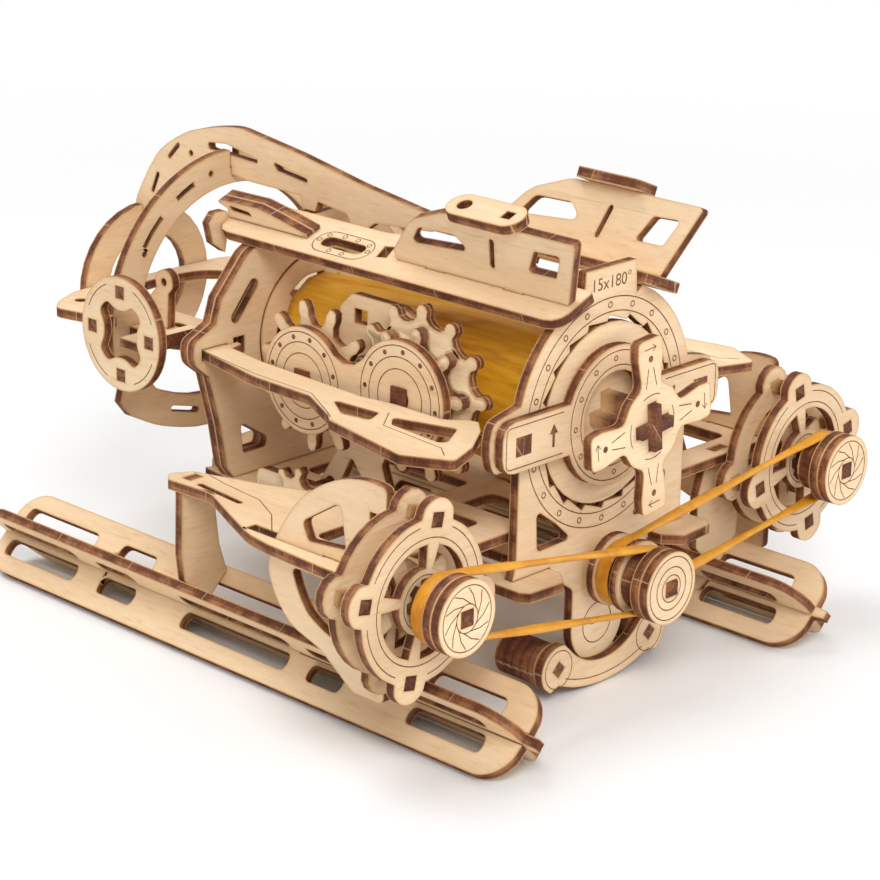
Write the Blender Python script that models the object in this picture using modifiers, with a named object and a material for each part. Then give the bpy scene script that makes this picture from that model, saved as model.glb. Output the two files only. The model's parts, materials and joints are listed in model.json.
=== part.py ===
"""Wooden wind-up craft kit: flat laser-cut plates, gear train, side pods, skis and rubber belts."""

import math

import bmesh
import bpy
from mathutils import Matrix, Vector

MM = 0.001
SHEET = 3.0
FIT = 0.3
AXIS_Z = 79.2
PULLEY_Z = 34.8
POD_X = 81.4
POD_Z = 49.0
SKI_IN = 18.53
SKI_X = POD_X - SKI_IN
WING_Z = 50.4
DECK_TOP = 39.3
SKI_Z = 10.82
LINK_Z = 9.4
GEAR_A = (78.0, 78.7)
GEAR_B = (40.0, 82.4)
GEAR_A_TEETH = 11
GEAR_B_TEETH = 9
GEAR_A_TIP = 1.3
GEAR_A_ROOT = 6.2
GEAR_B_TIP = 2.2
GEAR_B_ROOT = 4.5
PINION = (80.6, 44.1)
PINION_TEETH = 6
PINION_TIP = 8.6
PINION_ROOT = 4.6
STUB_R = 1.6
SHAFT = 4.0
BORE = 3.3
SHIFT_Y = -81.0

for old in list(bpy.data.objects):
    bpy.data.objects.remove(old, do_unlink=True)

scene = bpy.context.scene
parts = bpy.data.collections.new("wooden_mechanical_puzzle")
cutters = bpy.data.collections.new("cutters")
scene.collection.children.link(parts)
scene.collection.children.link(cutters)

root = bpy.data.objects.new("craft_root", None)
root.location = (0.0, SHIFT_Y * MM, 0.0)
parts.objects.link(root)

COLOURS = {
    "birch_ply": ((0.80, 0.60, 0.39), 0.62),
    "burnt_ply": ((0.20, 0.085, 0.045), 0.75),
    "rubber": ((0.72, 0.33, 0.03), 0.5),
}


def material(name, kind):
    colour, rough = COLOURS[kind]
    mat = bpy.data.materials.new(f"{kind}_{name}")
    mat.use_nodes = True
    shader = mat.node_tree.nodes["Principled BSDF"]
    shader.inputs["Base Color"].default_value = (*colour, 1.0)
    shader.inputs["Roughness"].default_value = rough
    shader.inputs["Metallic"].default_value = 0.0
    return mat


# Frames: the plate's flat outline lies in the named plane, at the middle of its thickness
def across(y):
    return Matrix(((1, 0, 0, 0), (0, 0, -1, y), (0, 1, 0, 0), (0, 0, 0, 1)))


def along(x):
    return Matrix(((0, 0, 1, x), (1, 0, 0, 0), (0, 1, 0, 0), (0, 0, 0, 1)))


def level(z):
    return Matrix.Translation((0.0, 0.0, z))


def tilted(origin, u_dir, v_dir):
    u = Vector(u_dir).normalized()
    v = Vector(v_dir).normalized()
    w = u.cross(v)
    rows = [(u[i], v[i], w[i], origin[i]) for i in range(3)]
    return Matrix((*rows, (0, 0, 0, 1)))


# Outlines
def arc(cx, cy, r, start, end, count):
    step = (end - start) / count
    angles = [math.radians(start + step * i) for i in range(count + 1)]
    return [(cx + r * math.cos(a), cy + r * math.sin(a)) for a in angles]


def circle(cx, cy, r, count=24, turn=0.0):
    return arc(cx, cy, r, turn, turn + 360.0, count)[:-1]


def poly(*corners):
    out = []
    count = len(corners)
    for i, corner in enumerate(corners):
        p = Vector(corner[:2])
        radius = corner[2] if len(corner) > 2 else 0.0
        if radius <= 0.0:
            out.append((p.x, p.y))
            continue
        a = Vector(corners[i - 1][:2]) - p
        b = Vector(corners[(i + 1) % count][:2]) - p
        angle = a.angle(b)
        reach = min(radius / math.tan(angle / 2), 0.48 * a.length, 0.48 * b.length)
        radius = reach * math.tan(angle / 2)
        middle = p + (a.normalized() + b.normalized()).normalized() * (radius / math.sin(angle / 2))
        first = p + a.normalized() * reach - middle
        last = p + b.normalized() * reach - middle
        turn = math.atan2(first.x * last.y - first.y * last.x, first.dot(last))
        steps = max(1, round(abs(turn) / math.radians(48 if radius < 2.6 else 30)))
        base = math.atan2(first.y, first.x)
        for k in range(steps + 1):
            t = base + turn * k / steps
            out.append((middle.x + radius * math.cos(t), middle.y + radius * math.sin(t)))
    return out


def rect(cx, cy, w, h, turn=0.0):
    c, s = math.cos(math.radians(turn)), math.sin(math.radians(turn))
    corners = [(-w / 2, -h / 2), (w / 2, -h / 2), (w / 2, h / 2), (-w / 2, h / 2)]
    return [(cx + x * c - y * s, cy + x * s + y * c) for x, y in corners]


def stadium(x1, y1, x2, y2, r, count=6):
    lean = math.degrees(math.atan2(y2 - y1, x2 - x1))
    return arc(x2, y2, r, lean - 90, lean + 90, count) + arc(x1, y1, r, lean + 90, lean + 270, count)


def bent(cx, cy, r1, r2, start, end, count=6):
    return arc(cx, cy, r2, start, end, count) + arc(cx, cy, r1, end, start, count)


def turned(loop, cx, cy, turn):
    c, s = math.cos(math.radians(turn)), math.sin(math.radians(turn))
    return [(cx + (x - cx) * c - (y - cy) * s, cy + (x - cx) * s + (y - cy) * c) for x, y in loop]


def flipped(loops):
    return [[(-x, y) for x, y in loop] for loop in loops]


def mirrored(half):
    other = [(-x, y) for x, y in reversed(half) if abs(x) > 1e-6]
    return half + other


def petals(cx, cy, teeth, root_r, tip_r, turn=0.0):
    pitch = 360.0 / teeth
    mid = (root_r + tip_r) / 2
    foot, wide, tip = 0.30, 0.17, 0.10
    shape = [(-0.5, root_r), (-foot, root_r + 0.4), (-wide, mid - 1.0), (-wide, mid + 1.2),
             (-tip, tip_r - 0.45), (0.0, tip_r), (tip, tip_r - 0.45), (wide, mid + 1.2),
             (wide, mid - 1.0), (foot, root_r + 0.4)]
    out = []
    for i in range(teeth):
        for part, r in shape:
            a = math.radians(turn + pitch * (i + part))
            out.append((cx + r * math.cos(a), cy + r * math.sin(a)))
    return out


def saw(cx, cy, teeth, low, high):
    pitch = 360.0 / teeth
    out = []
    for i in range(teeth):
        for part, r in ((0.0, high), (0.12, low), (0.56, low + 0.45)):
            a = math.radians(pitch * (i + part))
            out.append((cx + r * math.cos(a), cy + r * math.sin(a)))
    return out


def area(loop):
    pairs = zip(loop, loop[1:] + loop[:1])
    return sum(a[0] * b[1] - b[0] * a[1] for a, b in pairs) / 2


def grown(loop, by):
    sign = 1.0 if area(loop) > 0 else -1.0
    out = []
    count = len(loop)
    for i, p in enumerate(loop):
        p = Vector(p)
        a = (p - Vector(loop[i - 1])).normalized()
        b = (Vector(loop[(i + 1) % count]) - p).normalized()
        na = Vector((a.y, -a.x)) * sign
        nb = Vector((b.y, -b.x)) * sign
        both = na + nb
        if both.length < 0.2:
            both = na
        step = both.normalized() * by / max(0.45, both.length / 2)
        out.append((p.x + step.x, p.y + step.y))
    return out


SPECS = {}


def flat_curve(name, loops, frame, thick):
    curve = bpy.data.curves.new(name, "CURVE")
    curve.dimensions = "2D"
    curve.fill_mode = "BOTH"
    curve.extrude = thick / 2 * MM
    for loop in loops:
        spline = curve.splines.new("POLY")
        spline.points.add(len(loop) - 1)
        for point, (x, y) in zip(spline.points, loop):
            point.co = (x * MM, y * MM, 0.0, 1.0)
        spline.use_cyclic_u = True
    place = frame.copy()
    place.translation = place.translation * MM
    made = bpy.data.objects.new(name, curve)
    parts.objects.link(made)
    bpy.context.view_layer.update()
    depsgraph = bpy.context.evaluated_depsgraph_get()
    mesh = bpy.data.meshes.new_from_object(made.evaluated_get(depsgraph))
    bpy.data.objects.remove(made, do_unlink=True)
    bpy.data.curves.remove(curve)
    mesh.transform(place)
    work = bmesh.new()
    work.from_mesh(mesh)
    bmesh.ops.remove_doubles(work, verts=work.verts, dist=0.000002)
    bmesh.ops.recalc_face_normals(work, faces=work.faces)
    work.to_mesh(mesh)
    work.free()
    return mesh


def add(name, mesh, kind, pivot, parent):
    mesh.name = name
    mesh.transform(Matrix.Translation(-Vector(pivot) * MM))
    mesh.materials.clear()
    mesh.materials.append(material(name, kind))
    ob = bpy.data.objects.new(name, mesh)
    ob.parent = parent
    parts.objects.link(ob)
    return ob


AXES = {}


def plate(name, loops, frame, thick=SHEET, kind="birch_ply", axis=None):
    SPECS[name] = (loops, frame, thick)
    mesh = flat_curve(name, loops, frame, thick)
    pivot, parent = AXES[axis] if axis else ((0, 0, 0), root)
    return add(name, mesh, kind, pivot, parent)


def cut_with(target, mesh, label):
    cutter = bpy.data.objects.new(f"cut_{target}_{label}", mesh)
    cutter.parent = root
    cutter.hide_render = True
    cutter.display_type = "WIRE"
    cutters.objects.link(cutter)
    mod = bpy.data.objects[target].modifiers.new(f"cut_{label}", "BOOLEAN")
    mod.operation = "DIFFERENCE"
    mod.solver = "EXACT"
    mod.object = cutter


def fit(target, *others, room=FIT):
    for other in others:
        loops, frame, thick = SPECS[other]
        swollen = [grown(loops[0], room)] + [grown(loop, -room) for loop in loops[1:]]
        mesh = flat_curve(f"cut_{other}", swollen, frame, thick + 2 * room)
        cut_with(target, mesh, other)


def trim(target, label, loop, frame, thick):
    cut_with(target, flat_curve(f"cut_{label}", [loop], frame, thick), label)


def join_to(target, label, loops, frame, thick):
    mesh = flat_curve(f"add_{label}", loops, frame, thick)
    piece = bpy.data.objects.new(f"add_{target}_{label}", mesh)
    piece.parent = root
    piece.hide_render = True
    piece.display_type = "WIRE"
    cutters.objects.link(piece)
    mod = bpy.data.objects[target].modifiers.new(f"add_{label}", "BOOLEAN")
    mod.operation = "UNION"
    mod.solver = "EXACT"
    mod.object = piece


def axis_at(name, at):
    ob = bpy.data.objects.new(f"{name}_axis", None)
    ob.location = Vector(at) * MM
    ob.empty_display_size = 0.01
    ob.parent = root
    parts.objects.link(ob)
    AXES[name] = (at, ob)


# Stern plate with the dial, its tab and the keel
ROD_X = 37.4
ROD_W = 6.0
ROD_H = 5.4
EAR_TOP = 7.4
EAR_SIDE = 4.8
stern_half = [(0, AXIS_Z + 41.6), (10.5, AXIS_Z + 41.6), (11.2, AXIS_Z + 32.1)]
stern_half += arc(0, AXIS_Z, 36.3, 68, 15, 8)
stern_half += [(ROD_X + 6.6, AXIS_Z + EAR_TOP), (ROD_X + 9, AXIS_Z + EAR_SIDE),
               (ROD_X + 9, AXIS_Z - EAR_SIDE),
               (ROD_X + 6.6, AXIS_Z - EAR_TOP), (35.2, AXIS_Z - EAR_TOP), (35.2, 44), (36.4, DECK_TOP),
               (21.2, DECK_TOP), (21.2, 37), (16, 33.2), (12, 30.5), (11, 28)]
stern_half += arc(0, 17.2, 11, 0, -90, 8)
stern_outline = mirrored(stern_half)
stern_window = poly((26.8, 45.2, 1.5), (27.6, 57.5, 1.2), (19.5, 51.8, 6), (12.5, 45.6, 1))
ear_hole = rect(ROD_X, AXIS_Z, ROD_W + 2 * FIT, ROD_H + 2 * FIT)
stern_loops = [stern_outline, saw(0, AXIS_Z, 20, 26.2, 27.8), circle(0, PULLEY_Z, BORE, 16),
               stern_window, flipped([stern_window])[0], ear_hole, flipped([ear_hole])[0]]
plate("stern_plate", stern_loops, across(1.5))

# Deck under the hull, notched for the keel at the stern
deck_half = [(0, 10), (3, 10), (3, 3.6), (21.6, 3.6), (21.6, -4.4), (26, -9.3), (38.6, -8.4), (40.4, -6.0),
             (40.4, 40), (38, 60), (36, 112), (34, 126)]
deck_half += arc(0, 104, 38, 33, 90, 6)
deck_loops = [mirrored(deck_half), poly((-12, 14, 3), (12, 14, 3), (12, 52, 3), (-12, 52, 3)),
              poly((-14, 62, 3), (14, 62, 3), (14, 104, 3), (-14, 104, 3)),
              poly((22, 12, 2), (30, 12, 2), (30, 56, 2), (22, 56, 2)),
              poly((-30, 12, 2), (-22, 12, 2), (-22, 56, 2), (-30, 56, 2))]
plate("deck_plate", deck_loops, level(37.5))
CHEEK_X = -35.4
cheek = poly((PINION[0] - 4.6, 38.6), (PINION[0] + 19.8, 38.6), (PINION[0] + 19.8, PINION[1] + 2.6, 2.5),
             (PINION[0] - 4.6, PINION[1] + 2.6))
join_to("deck_plate", "cheek", [cheek, circle(*PINION, STUB_R + FIT, 12)], along(CHEEK_X), SHEET)

# Bow bulkhead, two sheets thick
bow_half = [(0, 114.0), (9, 114.6), (26.8, 107.4), (31, 103.6), (38.8, 94.7), (41.1, 87.5), (48.5, 84),
            (49.8, 80.2), (48.2, 75.8), (43.9, 72.4), (39.4, 56), (36.9, 42.5), (34.5, DECK_TOP),
            (0, DECK_TOP)]
bow_window = poly((31.8, 55.9, 1), (30.7, 45.9, 1), (21.6, 46, 1), (21, 49, 1))
bow_slot = stadium(26.5, 97, 33.5, 88.5, 1.8)
RAIL_Z = 79.5
rail_slot = rect(41.9, RAIL_Z, 9.8, SHEET + 2 * FIT)
hook_slot = rect(32.3, RAIL_Z + 0.3, 4.4, 5.2)
bow_loops = [mirrored(bow_half), rail_slot, flipped([rail_slot])[0], hook_slot, flipped([hook_slot])[0],
             circle(0, AXIS_Z, 24, 32), bow_window, flipped([bow_window])[0], bow_slot,
             flipped([bow_slot])[0]]
plate("bow_bulkhead", bow_loops, across(116.0), 2 * SHEET)

# Spine over the bow, from the roof to the bow ring
spine_loop = poly((190.8, 96.0, 2), (196.5, 97.0, 3), (193.5, 105.5, 8), (183.2, 121.4, 12), (169, 129.8, 14),
                  (148, 134.6, 20), (119.7, 130.8), (94.5, 126.3), (64, 122.2, 2), (62, 119.4, 2),
                  (66, 117.6),
                  (88.2, 115.8), (92, 113.2), (98, 113.4), (100, 116.4), (112, 117.8), (113.2, 114.6),
                  (118.8, 114.6), (119.4, 118.4), (142, 118.6, 2), (149, 119.4), (158, 118.6, 4),
                  (168, 113, 10),
                  (181, 102, 8))
plate("spine_plate", [
    spine_loop,
    poly((160.3, 127.6, 0.8), (160.0, 125.6, 0.8), (138.2, 124.8, 0.5), (138.2, 126.0, 0.5),
         (152.0, 128.4, 2)),
    poly((131.8, 126.6, 0.8), (129.5, 124.1, 0.8), (116.6, 122.6, 0.5), (116.6, 123.8, 0.5)),
    stadium(183.7, 113.5, 186.2, 107.8, 0.7, 3),
    stadium(174, 124.4, 178.2, 120.0, 0.7, 3),
    circle(168.1, 122.8, 0.9, 8),
], along(0))
ARCH_Y = 151.5
trim("spine_plate", "arch_slot", rect(ARCH_Y, 112, SHEET + 2 * FIT, 19.6), along(0), 6)

# Arch frame around the bow and the bow ring
arch_outer = arc(0, 78, 49, -22, 202, 30)
arch_low = [(-46.4, 56.0), (-42.4, 51.0), (-36.6, 48.0), (-27.7, 44.4), (-11, 41.4), (11, 41.4), (27.7, 44.4),
            (36.6, 48.0), (42.4, 51.0), (46.4, 56.0)]
arch_inner = arc(0, 78, 38.6, -28, 208, 26) + [(-27.5, 55.5), (-11.5, 51.8), (11.5, 51.8), (27.5, 55.5)]
plate("arch_frame", [
    arch_outer + arch_low, arch_inner,
    bent(0, 78, 43.0, 44.6, 112, 122, 3), bent(0, 78, 43.0, 44.6, 132, 146, 3),
    bent(0, 78, 43.0, 44.6, 58, 68, 3), bent(0, 78, 43.0, 44.6, 34, 48, 3),
    circle(-9.6, 120.8, 0.9, 8), circle(9.6, 120.8, 0.9, 8),
    circle(-36.3, 100.4, 0.9, 8), circle(36.3, 100.4, 0.9, 8),
    stadium(-25.6, 49.8, -16.2, 47.4, 0.9, 4), stadium(16.2, 47.4, 25.6, 49.8, 0.9, 4),
], across(ARCH_Y))
trim("arch_frame", "spine_slot", rect(0, 126.3, SHEET + 2 * FIT, 9.6), across(ARCH_Y), 6)
plate("bow_ring", [circle(0, 77, 25.5, 32), circle(0, 77, 16, 28)], across(192.5))
fit("bow_ring", "spine_plate")

# Nose platform with its pointed tips
ARCH_HALF = SHEET / 2 + FIT
WHEEL_X = 54.1
nose_half = [(0, 190.4), (27.7, 190.4), (35.5, 187.8), (43.2, 183.2), (45.9, 178.4), (43.9, 169.4),
             (42.6, 160),
             (42.6, ARCH_Y + ARCH_HALF), (38.2, ARCH_Y + ARCH_HALF), (38.2, ARCH_Y - ARCH_HALF),
             (42.6, ARCH_Y - ARCH_HALF), (42.6, 143), (WHEEL_X - SHEET / 2 - FIT, 143),
             (WHEEL_X - SHEET / 2 - FIT, 134), (42.6, 134), (42.6, 131), (39.4, 125), (39.4, 119.4),
             (0, 119.4)]
nose_hole = circle(-35.5, 181.2, 1.9, 12)
plate("nose_platform", [
    mirrored(nose_half), poly((-22, 126, 6), (22, 126, 6), (22, 184, 14), (-22, 184, 14)),
    nose_hole, flipped([nose_hole])[0],
    stadium(-31, 128, -31, 142, 1.6), stadium(31, 128, 31, 142, 1.6),
], level(78))

# Side wheels that stand on the platform's edges
WHEEL = (138.8, 82.0)
wheel_loops = [circle(*WHEEL, 17.2, 32)]
plus = []
for quarter in range(4):
    a = quarter * 90
    plus += turned([(WHEEL[0] + x, WHEEL[1] + y) for x, y in
                    ((5.1, -5.1), (7.6, -3.4), (9.8, -2.6), (10.8, 0), (9.8, 2.6),
(7.6, 3.4))], *WHEEL, a + 45)
wheel_loops.append(plus)
for quarter in range(4):
    x, y = turned([(WHEEL[0] + 12.6, WHEEL[1])], *WHEEL, quarter * 90)[0]
    wheel_loops.append(rect(x, y, 3.8, 3.8, quarter * 90))
plate("side_wheel_left", wheel_loops, along(-WHEEL_X))
plate("side_wheel_right", wheel_loops, along(WHEEL_X))

# Upright bracket between the bulkhead and the arch
bracket_loop = [(139.8, 79.8), (149.4, 79.8), (149.2, 85), (147.3, 88.6), (144.6, 91.6)]
bracket_loop += arc(141.2, 93.7, 3.8, -30, 240, 8)
plate("nose_bracket", [bracket_loop, circle(141.2, 93.7, 1.2, 10)], along(-35))

# Roof panels and fins, leaning outward
TILT = 22.0
sin_t, cos_t = math.sin(math.radians(TILT)), math.cos(math.radians(TILT))
FIN_S = -1.0
roof_left = tilted((-17.5, 0, 113.4), (cos_t, 0, sin_t), (0, 1, 0))
roof_right = tilted((17.5, 0, 113.4), (cos_t, 0, -sin_t), (0, 1, 0))
roof_loop = poly((-10, -4.6, 5), (5.6, -4.6, 1), (5.6, 3.6), (9.6, 3.6), (9.6, 60), (7.4, 74, 3),
                 (7.0, 122, 3),
                 (0, 128.6, 7), (-10, 128.6, 5))
roof_loops = [roof_loop, stadium(-2.6, 76, -2.6, 88, 2.3), rect(-0.6, 67, 5.4, 3.4, 14),
              rect(FIN_S, 17, SHEET + 2 * FIT, 7.6), rect(FIN_S, 46, SHEET + 2 * FIT, 7.6)]
plate("roof_panel_left", roof_loops, roof_left)
plate("roof_panel_right", flipped(roof_loops), roof_right)

fin_loop = poly((-2.6, 1.7), (-10.6, 22.5, 1), (36.5, 22.5, 8), (50.5, 17.2, 8), (61, 5.0, 2), (61, 1.7),
                (49.5, 1.7), (49.5, -3.4), (42.5, -3.4), (42.5, 1.7), (20.5, 1.7), (20.5, -3.4), (13.5, -3.4),
                (13.5, 1.7))
fin_loops = [fin_loop,
             poly((9.4, 9.6, 0.8), (5.2, 17.2, 0.8), (-4.2, 17.6, 0.8), (-0.6, 9.8, 0.8)),
             poly((52.5, 9.4, 1), (48, 15.4, 3), (34.5, 15.8, 2), (29.6, 11.2, 1.5)),
             stadium(22.6, 8.5, 20.4, 16.8, 0.8, 3)]
fin_left = tilted((-17.5 + FIN_S * cos_t, 0, 113.4 + FIN_S * sin_t), (0, 1, 0), (-sin_t, 0, cos_t))
fin_right = tilted((17.5 - FIN_S * cos_t, 0, 113.4 + FIN_S * sin_t), (0, 1, 0), (sin_t, 0, cos_t))
plate("fin_left", fin_loops, fin_left)
plate("fin_right", fin_loops, fin_right)


def on_fin(side, height):
    x = side * (17.5 - FIN_S * cos_t) + side * height * sin_t
    return tilted((x, 0, 113.4 + FIN_S * sin_t + height * cos_t), (cos_t, 0, -side * sin_t), (0, 1, 0))


cap_loops = [stadium(0, 12.6, 0, 29.2, 4.9, 8), rect(0, 12.9, 3.2, 3.2), circle(0, 28.6, 2.2, 12)]
plate("fin_cap_left", cap_loops, on_fin(-1, 24.4))
bridge_loops = [poly((-5, 11, 1.5), (5, 11, 1.5), (5, 33.5, 1.5),
                     (-5, 33.5, 1.5)), stadium(0, 16, 0, 22, 1.7),
                circle(0, 29, 1.9, 12)]
plate("fin_cap_right", bridge_loops, on_fin(1, 24.4))

# Arrow fin and end plate at the roof's bow end
arrow_frame = tilted((-17.5 + FIN_S * cos_t, 0, 113.4 + FIN_S * sin_t), (0, 1, 0), (-sin_t, 0, cos_t))
plate("arrow_fin", [
    poly((95.5, 1.9), (95.5, 2.8), (105.9, 5.8, 6), (114, 7.7, 4), (133.3, 7.3, 0.8), (127.8, 4.9, 0.6),
         (128.7, 1.9)),
    poly((127, 6.2, 0.5), (126, 4.6, 0.5), (117.5, 4.2, 0.5), (118.5, 5.6, 0.5)),
], arrow_frame, 2 * SHEET)
end_plate = poly((-29.5, 112.7), (-27, 115.6, 1), (-22.5, 115.6, 1), (-21.4, 113, 1), (-22.3, 107.6, 1),
                 (-23.1, 103), (-27.9, 106.4))
plate("end_plate_left", [end_plate], across(130.4))

# Side rails
rail_left = [
    poly((-45.4, 117.0, 1), (-52.3, 85.4, 30), (-52.9, 62, 4), (-61, 46.4, 4), (-63.7, 43.2, 2),
         (-70.4, 10.6, 3),
         (-63.4, -2.6, 2), (-52, 1.6, 3), (-41.3, 8.6, 3), (-35.8, 14.4, 1), (-36.6, 17.4, 1),
         (-41.2, 22.5, 3),
         (-41.2, 40, 4), (-43.2, 52, 6), (-41.2, 94), (-38.6, 109), (-33.8, 110.4), (-33.4, 112.6),
         (-37.6, 112.6),
         (-37.6, 117)),
    poly((-50.9, 54.8, 0.8), (-57.6, 44.8, 1.2), (-56.2, 35.4, 1.2), (-49.6, 38.2, 1.2)),
    poly((-49.8, 33.0, 1), (-54.4, 28.8, 1.5), (-56.2, 7.4, 2), (-44, 14.4, 2)),
]
plate("side_rail_left", rail_left, level(RAIL_Z))
plate("side_rail_right", flipped(rail_left), level(RAIL_Z))

# Wings that carry the pods
wing_left = [
    poly((18.1 - POD_X, 98.2, 1), (12.0 - POD_X, 101.9, 1.5), (8.4 - POD_X, 98.4, 1.5),
         (9.6 - POD_X, 81.8, 8),
         (2.2 - POD_X, 66.1, 4), (-3.5 - POD_X, 53.4), (-5.9 - POD_X, 42.5, 3), (-7.1 - POD_X, 20.8, 2),
         (-7.1 - POD_X, 4, 2), (-26.4, 4), (-26.4, 46, 1), (-36.2, 48, 2), (-47, 56, 6),
         (25.4 - POD_X, 76, 10)),
    stadium(12.0 - POD_X, 88.6, 10.2 - POD_X, 70.6, 0.9, 4),
    poly((-34, 14, 3), (7.4 - POD_X, 14, 3), (7.4 - POD_X, 38, 3), (-34, 38, 3)),
]
plate("wing_left", wing_left, level(WING_Z))
plate("wing_right", flipped(wing_left), level(WING_Z))

# Brackets that hang the skis under the wings
V_TIP = SKI_Z + (SHEET / 2 + FIT) * 2 ** 0.5
WING_LOW = WING_Z - SHEET / 2 - FIT
WING_TOP = WING_Z + SHEET / 2


def hung(*corners):
    return [poly(*[(corner[0] - SKI_X, *corner[1:]) for corner in corners])]


far_bracket = hung((0, V_TIP), (7.6, V_TIP + 7.6, 1), (4.67, 30, 6), (2.27, WING_LOW), (-1.73, WING_LOW),
                   (-1.73, WING_TOP), (-6.13, WING_TOP), (-6.13, WING_LOW), (-9.13, WING_LOW), (-9.53, 30, 6),
                   (-8.4, V_TIP + 8.4, 1))
plate("far_bracket_left", far_bracket, across(94.8))
plate("far_bracket_right", flipped(far_bracket), across(94.8))
near_bracket = hung((0, V_TIP), (9.6, V_TIP + 9.6, 1), (9.87, 40, 4), (6.87, WING_LOW), (2.87, WING_LOW),
                    (2.87, WING_TOP), (-3.13, WING_TOP), (-3.13, WING_LOW), (-9.13, WING_LOW),
                    (-10.13, 40, 4),
                    (-9.6, V_TIP + 9.6, 1))
plate("near_bracket_left", near_bracket, across(8.6))
plate("near_bracket_right", flipped(near_bracket), across(8.6))
for word in ("left", "right"):
    fit(f"wing_{word}", f"far_bracket_{word}", f"near_bracket_{word}")

# Skis: two oval plates crossing at a right angle, each slotted over half its length
HALF = 0.5 ** 0.5
ski_outline = [(-1.2, -34.5), (1.2, -34.5), (1.6, -30.4)]
ski_side = arc(3.4, -20.0, 10.4, -80, 0, 6) + arc(3.9, 173.5, 10, 0, 84, 6)
ski_outline += ski_side + [(-x, y) for x, y in reversed(ski_side)] + [(-1.6, -30.4)]
ski_slots = ((146.5, 179), (120, 135.5), (54.6, 98.4), (33, 46), (-19.4, 7.6))


def ski_plate(name, x, lean, slot_ends):
    loops = [ski_outline]
    for side in (-1, 1):
        for y1, y2 in ski_slots:
            xs = sorted((side * 3.0, side * 8.4))
            loops.append(poly((xs[0], y1, 1.6), (xs[1], y1, 2), (xs[1], y2, 2), (xs[0], y2, 1.6)))
    frame = tilted((x, 0, SKI_Z), (HALF, 0, lean * HALF), (0, 1, 0))
    plate(name, loops, frame)
    y1, y2 = slot_ends
    trim(name, "halving", [(-1.8, y1), (1.8, y1), (1.8, y2), (-1.8, y2)], frame, 8)


for side, word in ((-1, "left"), (1, "right")):
    ski_plate(f"ski_outer_{word}", side * SKI_X, side, (52, 190))
    ski_plate(f"ski_inner_{word}", side * SKI_X, -side, (-40, 52.3))

# Side pods: two rings joined by bars, and a profile plate along each pod
for side, word in ((-1, "left"), (1, "right")):
    cx = side * POD_X
    lobes = sorted(90 - side * (a - 90) for a in (78, 168, 258, 348))
    ring = []
    windows = []
    for angle in lobes:
        ring += arc(cx, POD_Z, 22.5, angle - 45, angle - 15, 3)
        tip = turned([(cx + 21.6, POD_Z)], cx, POD_Z, angle)[0]
        ring += arc(tip[0], tip[1], 6.0, angle - 66, angle + 66, 5)
        ring += arc(cx, POD_Z, 22.5, angle + 15, angle + 45, 3)[:-1]
        windows.append(bent(cx, POD_Z, 9.0, 15.5, angle + 8, angle + 82, 6))
    hub = circle(cx, POD_Z, BORE, 12)
    plate(f"pod_front_{word}", [ring, hub, *windows], across(-8.3))
    plate(f"pod_back_{word}", [ring, hub, *windows], across(0.8))
    squares = []
    for angle in lobes:
        x, z = turned([(cx + 21.7, POD_Z)], cx, POD_Z, angle)[0]
        squares.append(rect(x, z, 3.4, 3.4, angle))
    for i, square in enumerate(squares):
        join_to(f"pod_back_{word}", f"bar_{i}", [square], across(-3.5), 13.2)
        trim(f"pod_front_{word}", f"bar_{i}", grown(square, FIT), across(-8.3), 6)
    profile = poly((2.6, 76.8, 2), (17.4, 76.6, 18), (34, 66.5, 14), (43.5, 52.6, 10), (47.2, 42.5, 8),
                   (40, 29.5, 12), (26.1, 25.1, 12), (14, 16.6, 3), (2.6, 16.6, 2))
    upper = poly((33.5, 59.6, 2), (19.1, 68.7, 1.5), (17.0, 56.0, 1), (31, 54.6, 1))
    lower = poly((38.0, 45.6, 1.5), (31.2, 33.6, 4), (17.0, 29, 2), (16.4, 45.4, 1))
    slots = [rect(7, 66, 3, 6), rect(7, 30, 3, 6)]
    plate(f"pod_profile_{word}", [profile, upper, lower, *slots], along(cx), SHEET)
    trim(f"wing_{word}", "halving", rect(cx, 40, SHEET + 2 * FIT, 30), level(WING_Z), 8)
    trim(f"pod_profile_{word}", "halving", rect(10, WING_Z, 31, SHEET + 2 * FIT), along(cx), 8)

# Gear train geometry: pitch radii follow the teeth and the distance between the axles
DX = GEAR_B[0] - GEAR_A[0]
DZ = GEAR_B[1] - GEAR_A[1]
LEAN_AB = math.degrees(math.atan2(DZ, DX))
MODULE = math.hypot(DX, DZ) / (GEAR_A_TEETH + GEAR_B_TEETH)
PITCH_A = MODULE * GEAR_A_TEETH
PITCH_B = MODULE * GEAR_B_TEETH

# Gear side frames inside the hull, left and right, on splayed legs
for side, word in ((-1, "left"), (1, "right")):
    frame_loop = poly((54.3, 39.4), (60.6, 39.4, 1), (72.2, 54.3, 1), (79.4, 39.4, 1), (87.6, 39.4),
                      (76.5, 57.5, 2), (88.6, 71, 6), (88.6, 86, 6), (78.2, 92, 2), (77.3, 98.4, 1),
                      (72.6, 102.8, 2), (53.3, 102.8, 2), (40, 98, 6), (31, 90, 4), (31, 74, 4), (44, 70, 4),
                      (56, 62, 3), (60, 54.5, 2))
    holes = [circle(*GEAR_A, BORE, 12), circle(*GEAR_B, BORE, 12), rect(69, 96.6, 5.0, 4.3),
             circle(*PINION, STUB_R + FIT, 12)]
    plate(f"gear_frame_{word}", [frame_loop, *holes], along(side * 24.6))

# Figure-eight cover over the gears
a_disc = arc(*GEAR_A, 15.6, LEAN_AB + 35 - 360, LEAN_AB - 35, 24)
b_disc = arc(*GEAR_B, 16.4, LEAN_AB - 180 + 35, LEAN_AB + 180 - 35, 24)
cover_loops = [a_disc + b_disc, circle(*GEAR_A, BORE, 12), circle(*GEAR_B, BORE, 12)]
plate("gear_cover", cover_loops, along(-38.5))

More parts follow.
